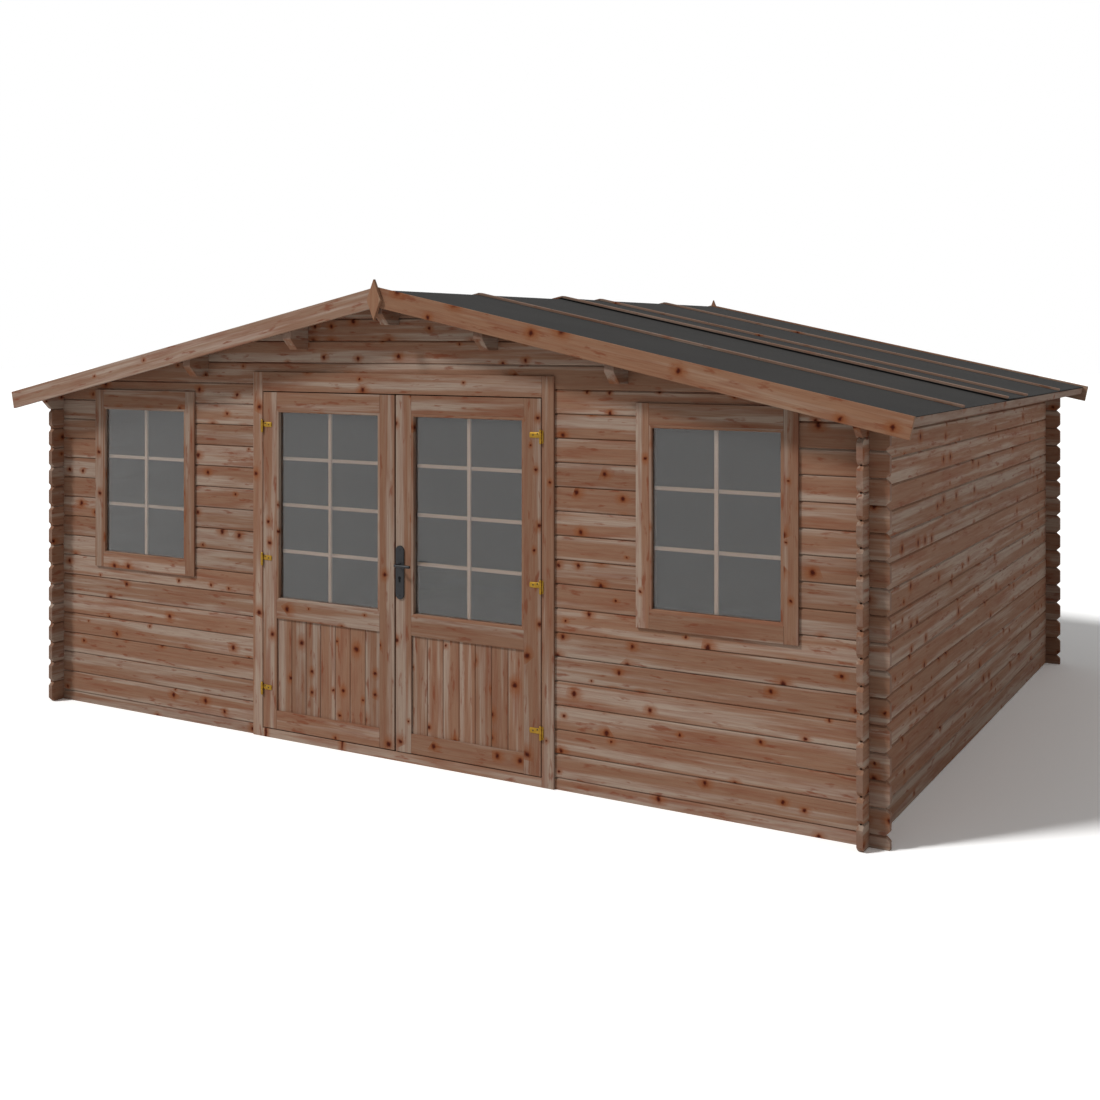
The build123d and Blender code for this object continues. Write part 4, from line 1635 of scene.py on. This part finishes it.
@dataclass
class Hinges:
    """Lift-off hinges: a domed strap on the leaf, a narrow wing on the post and a pin with round tips."""

    ring_points: int = 20
    strap_edge: float = 2.0 * MM
    strap_rise: float = 4.4 * MM
    shoulder_place: float = 0.55    # share of the half height at which the dome turns down
    shoulder_rise: float = 0.9      # share of the full rise there
    corner: float = 3 * MM
    corner_rise: float = 0.8        # share of the rise at the rounded free end
    wing: float = 13.5 * MM
    knuckle_gap: float = 1.0 * MM
    knuckle_rim: float = 0.7 * MM
    pin_tip: float = 4.6 * MM
    screw_sink: float = 0.3 * MM
    screws: tuple[tuple[float, float], ...] = ((0.3, 6 * MM), (0.68, 0.0))

    def build(self, finishes: Finishes, fasteners: Fasteners) -> None:
        """Builds the straps and screws of both leaves, and the wings on the posts.

        Args:
            finishes: the cabin's materials.
            fasteners: sets the screws.
        """
        posts = bmesh.new()
        pairs = solid_boxes("post_hinges")
        for side in Side:
            leaf = f"{side.value}_leaf"
            straps = bmesh.new()
            spots = []
            for low, high in solid_boxes(f"{leaf}_hinges"):
                outer, tip = (high.x, low.x) if side is Side.RIGHT else (low.x, high.x)
                radius = (high.y - low.y) / 2
                axis = Vector((outer - side.sign * radius, low.y + radius, 0))
                back = high.y
                self.plate(straps, (axis.x, tip), (low.z, high.z), back)
                self.barrel(straps, axis, radius, (low.z, high.z))
                for share, lift in self.screws:
                    x = axis.x + (tip - axis.x) * share
                    face = back - self.strap_rise + self.screw_sink
                    spot = Vector((x, face, (low.z + high.z) / 2 + lift))
                    spots.append((spot, Vector((0, End.FRONT.sign, 0))))
                near = [b for b in pairs if b[0].x * side.sign > 0 and b[0].z < high.z and b[1].z > low.z]
                foot, top = min(b[0].z for b in near), max(b[1].z for b in near)
                self.plate(posts, (axis.x, axis.x + side.sign * self.wing), (foot, top), back)
                self.barrel(posts, axis, radius, (foot, low.z - self.knuckle_gap))
                self.barrel(posts, axis, radius, (high.z + self.knuckle_gap, top))
                for z in (foot, top):
                    matrix = Matrix.Translation((axis.x, axis.y, z))
                    bmesh.ops.create_uvsphere(
                        posts, u_segments=16, v_segments=8, radius=self.pin_tip, matrix=matrix
                    )
            piece = dress(new_piece(f"{leaf}_strap_hinges", straps), finishes.brass, leaf)
            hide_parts(f"{leaf}_hinges")
            heads = fasteners.tree.drive(f"{leaf}_hinge_screws", fasteners.screw, spots, finishes.zinc)
            dress(heads, finishes.zinc, leaf)
        wings = dress(new_piece("post_hinge_wings", posts), finishes.brass, "root")
        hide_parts("post_hinges")

    def plate(
        self, bm: bmesh.types.BMesh, reach: tuple[float, float], span: tuple[float, float], back: float
    ) -> None:
        """A hinge plate with a domed face.

        Args:
            bm: the mesh to add to.
            reach: x of the end under the knuckle and of the free end.
            span: its lower and upper edge.
            back: y of the face that it lies on.
        """
        (start, end), (foot, top) = reach, span
        middle, half = (foot + top) / 2, (top - foot) / 2
        turned, high = self.shoulder_place, self.strap_rise * self.shoulder_rise
        section = [(-1.0, 0.0), (-1.0, self.strap_edge), (-turned, high), (0.0, self.strap_rise)]
        section += [(turned, high), (1.0, self.strap_edge), (1.0, 0.0)]
        rounded = end - math.copysign(self.corner, end - start)
        full = [(middle + half * share, back - out) for share, out in section]
        short, flat = half - self.corner, self.corner_rise
        less = [(middle + short * share, back - out * flat) for share, out in section]
        rings = ((start, full), (rounded, full), (end, less))
        skin(bm, [[Vector((x, y, z)) for z, y in ring] for x, ring in rings])

    def barrel(self, bm: bmesh.types.BMesh, axis: Vector, radius: float, span: tuple[float, float]) -> None:
        """One knuckle with eased rims.

        Args:
            bm: the mesh to add to.
            axis: a point of the hinge's axis.
            radius: the knuckle's radius.
            span: its lower and upper end.
        """
        (foot, top), rim = span, self.knuckle_rim
        rings = []
        for z, r in ((foot, radius - rim), (foot + rim, radius), (top - rim, radius), (top, radius - rim)):
            round_it = turns(self.ring_points)
            rings.append([Vector((axis.x + r * math.cos(a), axis.y + r * math.sin(a), z)) for a in round_it])
        skin(bm, rings)


@dataclass
class Handles:
    """Long handle plates, the lever through them and the lock cylinder under it."""

    ring_points: int = 20
    plate_rim: float = 1.6 * MM
    screw_inset: float = 20 * MM
    bend: float = 13 * MM
    rings_in_bend: int = 8
    collar: float = 7 * MM
    collar_end: float = 9 * MM
    neck: float = 0.82              # thickness of the bent part, as a share of the lever's
    swell: float = 55 * MM
    tip: float = 5 * MM
    tip_end: float = 2 * MM
    spindle: float = 7 * MM
    cylinder_drop: float = 27 * MM
    cylinder_radius: float = 8.0 * MM
    cylinder_tail: float = 21 * MM
    cylinder_points: int = 14
    cylinder_mouth: float = 38.0    # half the angle over the tail, in degrees
    cylinder_depth: float = 3.5 * MM
    proud: float = 1.0 * MM

    def build(self, finishes: Finishes, fasteners: Fasteners) -> None:
        """Builds the plates, the lever and the lock cylinder.

        Args:
            finishes: the cabin's materials.
            fasteners: sets the screws.
        """
        low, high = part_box("handle_plates")
        self.plates(low, high, finishes, fasteners)
        self.lever(low, high, finishes)
        self.lock(low, high, finishes)

    def plates(self, low: Vector, high: Vector, finishes: Finishes, fasteners: Fasteners) -> None:
        """Long handle plates with rounded rims, and their screws.

        Args:
            low: low corner of both plates' box.
            high: high corner of both plates' box.
            finishes: the cabin's materials.
            fasteners: sets the screws.
        """
        bm = clean_copy("handle_plates")
        rims = [e for e in bm.edges if len(e.link_faces) == 2 and e.calc_face_angle(0.0) > math.radians(60)]
        bmesh.ops.bevel(bm, geom=rims, offset=self.plate_rim, segments=3, profile=0.5, affect="EDGES")
        piece = new_piece("long_handle_plates", bm)
        dress(piece, finishes.coated, "right_leaf")
        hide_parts("handle_plates")
        middle = (low.x + high.x) / 2
        spots = []
        for face, end in ((low.y, End.FRONT), (high.y, End.REAR)):
            for z in (low.z + self.screw_inset, high.z - self.screw_inset):
                spots.append((Vector((middle, face, z)), Vector((0, end.sign, 0))))
        screws = fasteners.tree.drive("handle_plate_screws", fasteners.screw, spots, finishes.coated)
        dress(screws, finishes.coated, "right_leaf")

    def lever(self, plate_low: Vector, plate_high: Vector, finishes: Finishes) -> None:
        """A lever on each side, bent out of one bar, on a collar and a square spindle.

        Args:
            plate_low: low corner of both plates' box.
            plate_high: high corner of both plates' box.
            finishes: the cabin's materials.
        """
        low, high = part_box("door_lever")
        radius = (high.z - low.z) / 2
        x = low.x + radius
        z = (low.z + high.z) / 2
        bm = bmesh.new()
        for face, reach, end in ((plate_low.y, low.y, End.FRONT), (plate_high.y, high.y, End.REAR)):
            way = end.sign
            bar = reach - way * radius
            start = face + way * self.proud
            outward, rightward = Vector((0, way, 0)), Vector((1, 0, 0))
            path: list[tuple[Vector, Vector, float]] = [
                (Vector((x, start, z)), outward, 1.0),
                (Vector((x, start + way * self.collar, z)), outward, 1.0),
                (Vector((x, start + way * self.collar_end, z)), outward, self.neck),
            ]
            for i in range(self.rings_in_bend + 1):
                turn = math.pi / 2 * i / self.rings_in_bend
                centre = Vector((x + self.bend, bar - way * self.bend, z))
                offset = Vector((-math.cos(turn), way * math.sin(turn), 0)) * self.bend
                ahead = Vector((math.sin(turn), way * math.cos(turn), 0))
                path.append((centre + offset, ahead, self.neck))
            for place, share in (
                (x + self.swell, 0.92),
                (high.x - self.tip, 0.98),
                (high.x - self.tip_end, 0.85),
                (high.x, 0.5),
            ):
                path.append((Vector((place, bar, z)), rightward, share))
            self.sweep(bm, path, radius)
        through = plate_high.y - plate_low.y + 4 * MM
        spindle = smooth_box(Vector((self.spindle, through, self.spindle)), 0.5 * MM)
        middle = (plate_low.y + plate_high.y) / 2
        bmesh.ops.translate(spindle, verts=spindle.verts[:], vec=Vector((x, middle, z)))
        merge(bm, spindle)
        piece = new_piece("lever_handles", bm)
        for face in piece.data.polygons:
            face.use_smooth = True
        piece.data.set_sharp_from_angle(angle=math.radians(40))
        dress(piece, finishes.coated, "lever")
        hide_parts("door_lever")

    def sweep(
        self, bm: bmesh.types.BMesh, path: Sequence[tuple[Vector, Vector, float]], radius: float
    ) -> None:
        """Skins rings along a level path.

        Args:
            bm: the mesh to add to.
            path: middle, direction and share of the radius of each ring.
            radius: the full radius.
        """
        up = Vector((0, 0, 1))
        rings = []
        for middle, ahead, share in path:
            side = ahead.cross(up)
            spokes = [up * math.cos(angle) + side * math.sin(angle) for angle in turns(self.ring_points)]
            rings.append([middle + out * radius * share for out in spokes])
        skin(bm, rings)

    def lock(self, low: Vector, high: Vector, finishes: Finishes) -> None:
        """The lock cylinder that fills each keyhole, near-black as painted shade for the dark of the hole:
        round above, with a flat tail below.

        Args:
            low: low corner of both plates' box.
            high: high corner of both plates' box.
            finishes: the cabin's materials.
        """
        middle = (low.x + high.x) / 2
        height = (low.z + high.z) / 2 - self.cylinder_drop
        spread = math.radians(self.cylinder_mouth)
        outline = []
        for i in range(self.cylinder_points + 1):
            turn = -math.pi / 2 + spread + (math.tau - 2 * spread) * i / self.cylinder_points
            outline.append((self.cylinder_radius * math.cos(turn), self.cylinder_radius * math.sin(turn)))
        outline += [(outline[-1][0], -self.cylinder_tail), (-outline[-1][0], -self.cylinder_tail)]
        bm = bmesh.new()
        for face, end in ((low.y, End.FRONT), (high.y, End.REAR)):
            levels = (face + end.sign * self.proud, face - end.sign * self.cylinder_depth)
            skin(bm, [[Vector((middle + x, y, height + z)) for x, z in outline] for y in levels])
        dress(new_piece("lock_cylinder", bm), finishes.black, "right_leaf")


# Studio


@dataclass
class Studio:
    """The camera at the photograph's place, the light and the floor."""

    eye: tuple[float, float, float] = (4.1507, -7.5637, 2.0943)
    heading: float = 29.966
    lens: float = 45.69
    rise: float = -0.1909
    sun_heading: float = 46.0
    sun_height: float = 46.0
    sun_strength: float = 2.6
    sun_width: float = 9.0
    fill_heading: float = 178.0
    fill_height: float = 12.0
    fill_strength: float = 0.35
    fill_width: float = 60.0
    sky: float = 0.28
    floor_colour: str = "#F4F4F3"
    floor_lift: float = 0.38
    floor_reach: float = 80.0

    def build(self) -> None:
        """Sets up the view, the light and the floor."""
        scene = bpy.context.scene
        scene.view_settings.view_transform = "Standard"
        self.camera(scene)
        self.lamp("key", self.sun_heading, self.sun_height, self.sun_strength, self.sun_width)
        self.lamp("fill", self.fill_heading, self.fill_height, self.fill_strength, self.fill_width)
        self.world(scene)
        self.floor()

    def camera(self, scene: bpy.types.Scene) -> None:
        """Level camera with a lowered frame, as the photograph's upright lines show.

        Args:
            scene: the scene that looks through it.
        """
        data = bpy.data.cameras.new("camera")
        data.lens = self.lens
        data.sensor_width = 36.0
        data.shift_y = self.rise
        data.clip_end = 500.0
        camera = bpy.data.objects.new("camera", data)
        camera.location = self.eye
        camera.rotation_euler = (math.radians(90), 0, math.radians(self.heading))
        scene.collection.objects.link(camera)
        scene.camera = camera

    def lamp(self, name: str, heading: float, height: float, strength: float, width: float) -> None:
        """A soft sun.

        Args:
            name: the lamp's name.
            heading: way that the light goes, in degrees from +X to +Y.
            height: its angle over the horizon, in degrees.
            strength: its strength.
            width: its apparent width in degrees.
        """
        data = bpy.data.lights.new(name, "SUN")
        data.energy = strength
        data.angle = math.radians(width)
        data.cycles.use_multiple_importance_sampling = False
        lamp = bpy.data.objects.new(name, data)
        turn, down = math.radians(heading), math.radians(height)
        way = Vector((math.cos(turn) * math.cos(down), math.sin(turn) * math.cos(down), -math.sin(down)))
        lamp.rotation_euler = way.to_track_quat("-Z", "Y").to_euler()
        bpy.context.scene.collection.objects.link(lamp)

    def seen_directly(self, tree: bpy.types.NodeTree) -> bpy.types.NodeSocket:
        """A switch that is 1 for what the camera sees itself, in a mirror or through a pane.

        Args:
            tree: a world's or material's tree.

        Returns:
            The switch.
        """
        path = add(tree, "ShaderNodeLightPath").outputs
        pair = add(
            tree, "ShaderNodeMath", {0: path["Is Camera Ray"], 1: path["Is Glossy Ray"]}, operation="MAXIMUM"
        ).outputs[0]
        three = add(
            tree, "ShaderNodeMath", {0: pair, 1: path["Is Transmission Ray"]}, operation="MAXIMUM"
        ).outputs[0]
        first = add(
            tree, "ShaderNodeMath", {0: path["Diffuse Depth"], 1: 0.5}, operation="LESS_THAN"
        ).outputs[0]
        return add(tree, "ShaderNodeMath", {0: three, 1: first}, operation="MULTIPLY").outputs[0]

    def world(self, scene: bpy.types.Scene) -> None:
        """A white sky that lights the cabin more softly than it looks.

        Args:
            scene: the scene that it surrounds.
        """
        world = bpy.data.worlds.new("sky")
        world.use_nodes = True
        tree = world.node_tree
        background = tree.nodes["Background"]
        background.inputs["Color"].default_value = (1.0, 1.0, 1.0, 1.0)
        strength = add(tree, "ShaderNodeMapRange", {0: self.seen_directly(tree), 3: self.sky, 4: 1.0})
        tree.links.new(strength.outputs[0], background.inputs["Strength"])
        scene.world = world

    def floor(self) -> None:
        """A plain pale floor that keeps the cabin's shadow."""
        bm = bmesh.new()
        bmesh.ops.create_grid(bm, x_segments=2, y_segments=2, size=self.floor_reach)
        piece = new_piece("floor", bm, outward=False)
        material, tree, shader = new_material("Pale_studio_floor")
        tree.nodes.remove(shader)
        plain = add(tree, "ShaderNodeBsdfDiffuse", {"Color": linear(self.floor_colour)})
        lift = add(
            tree, "ShaderNodeMath", {0: self.seen_directly(tree), 1: self.floor_lift}, operation="MULTIPLY"
        )
        extra = add(tree, "ShaderNodeBsdfDiffuse", {"Color": lift.outputs[0]})
        both = add(tree, "ShaderNodeAddShader", {0: plain.outputs[0], 1: extra.outputs[0]})
        tree.links.new(both.outputs[0], tree.nodes["Material Output"].inputs["Surface"])
        piece.data.materials.append(material)


def main() -> None:
    """Builds the cabin's looks round the CAD frame."""
    logging.basicConfig(level=logging.INFO, format="%(name)s: %(message)s")
    finishes = Finishes.make()
    wood = Carpenter(finishes.pine)
    # The bars' wood is painted pale: painted light for the sun that the glass keeps from them.
    bar_wood_painted_light = Carpenter(finishes.bars, drawn=200)
    rows = RowTree()
    fasteners = Fasteners()
    LogWalls().build(wood)
    Roof().build(wood, finishes, rows, fasteners)
    Windows().build(wood, bar_wood_painted_light, finishes, rows)
    DoubleDoor().build(wood, bar_wood_painted_light, finishes, rows)
    Hinges().build(finishes, fasteners)
    Handles().build(finishes, fasteners)
    Studio().build()


if __name__ == "__main__":
    main()
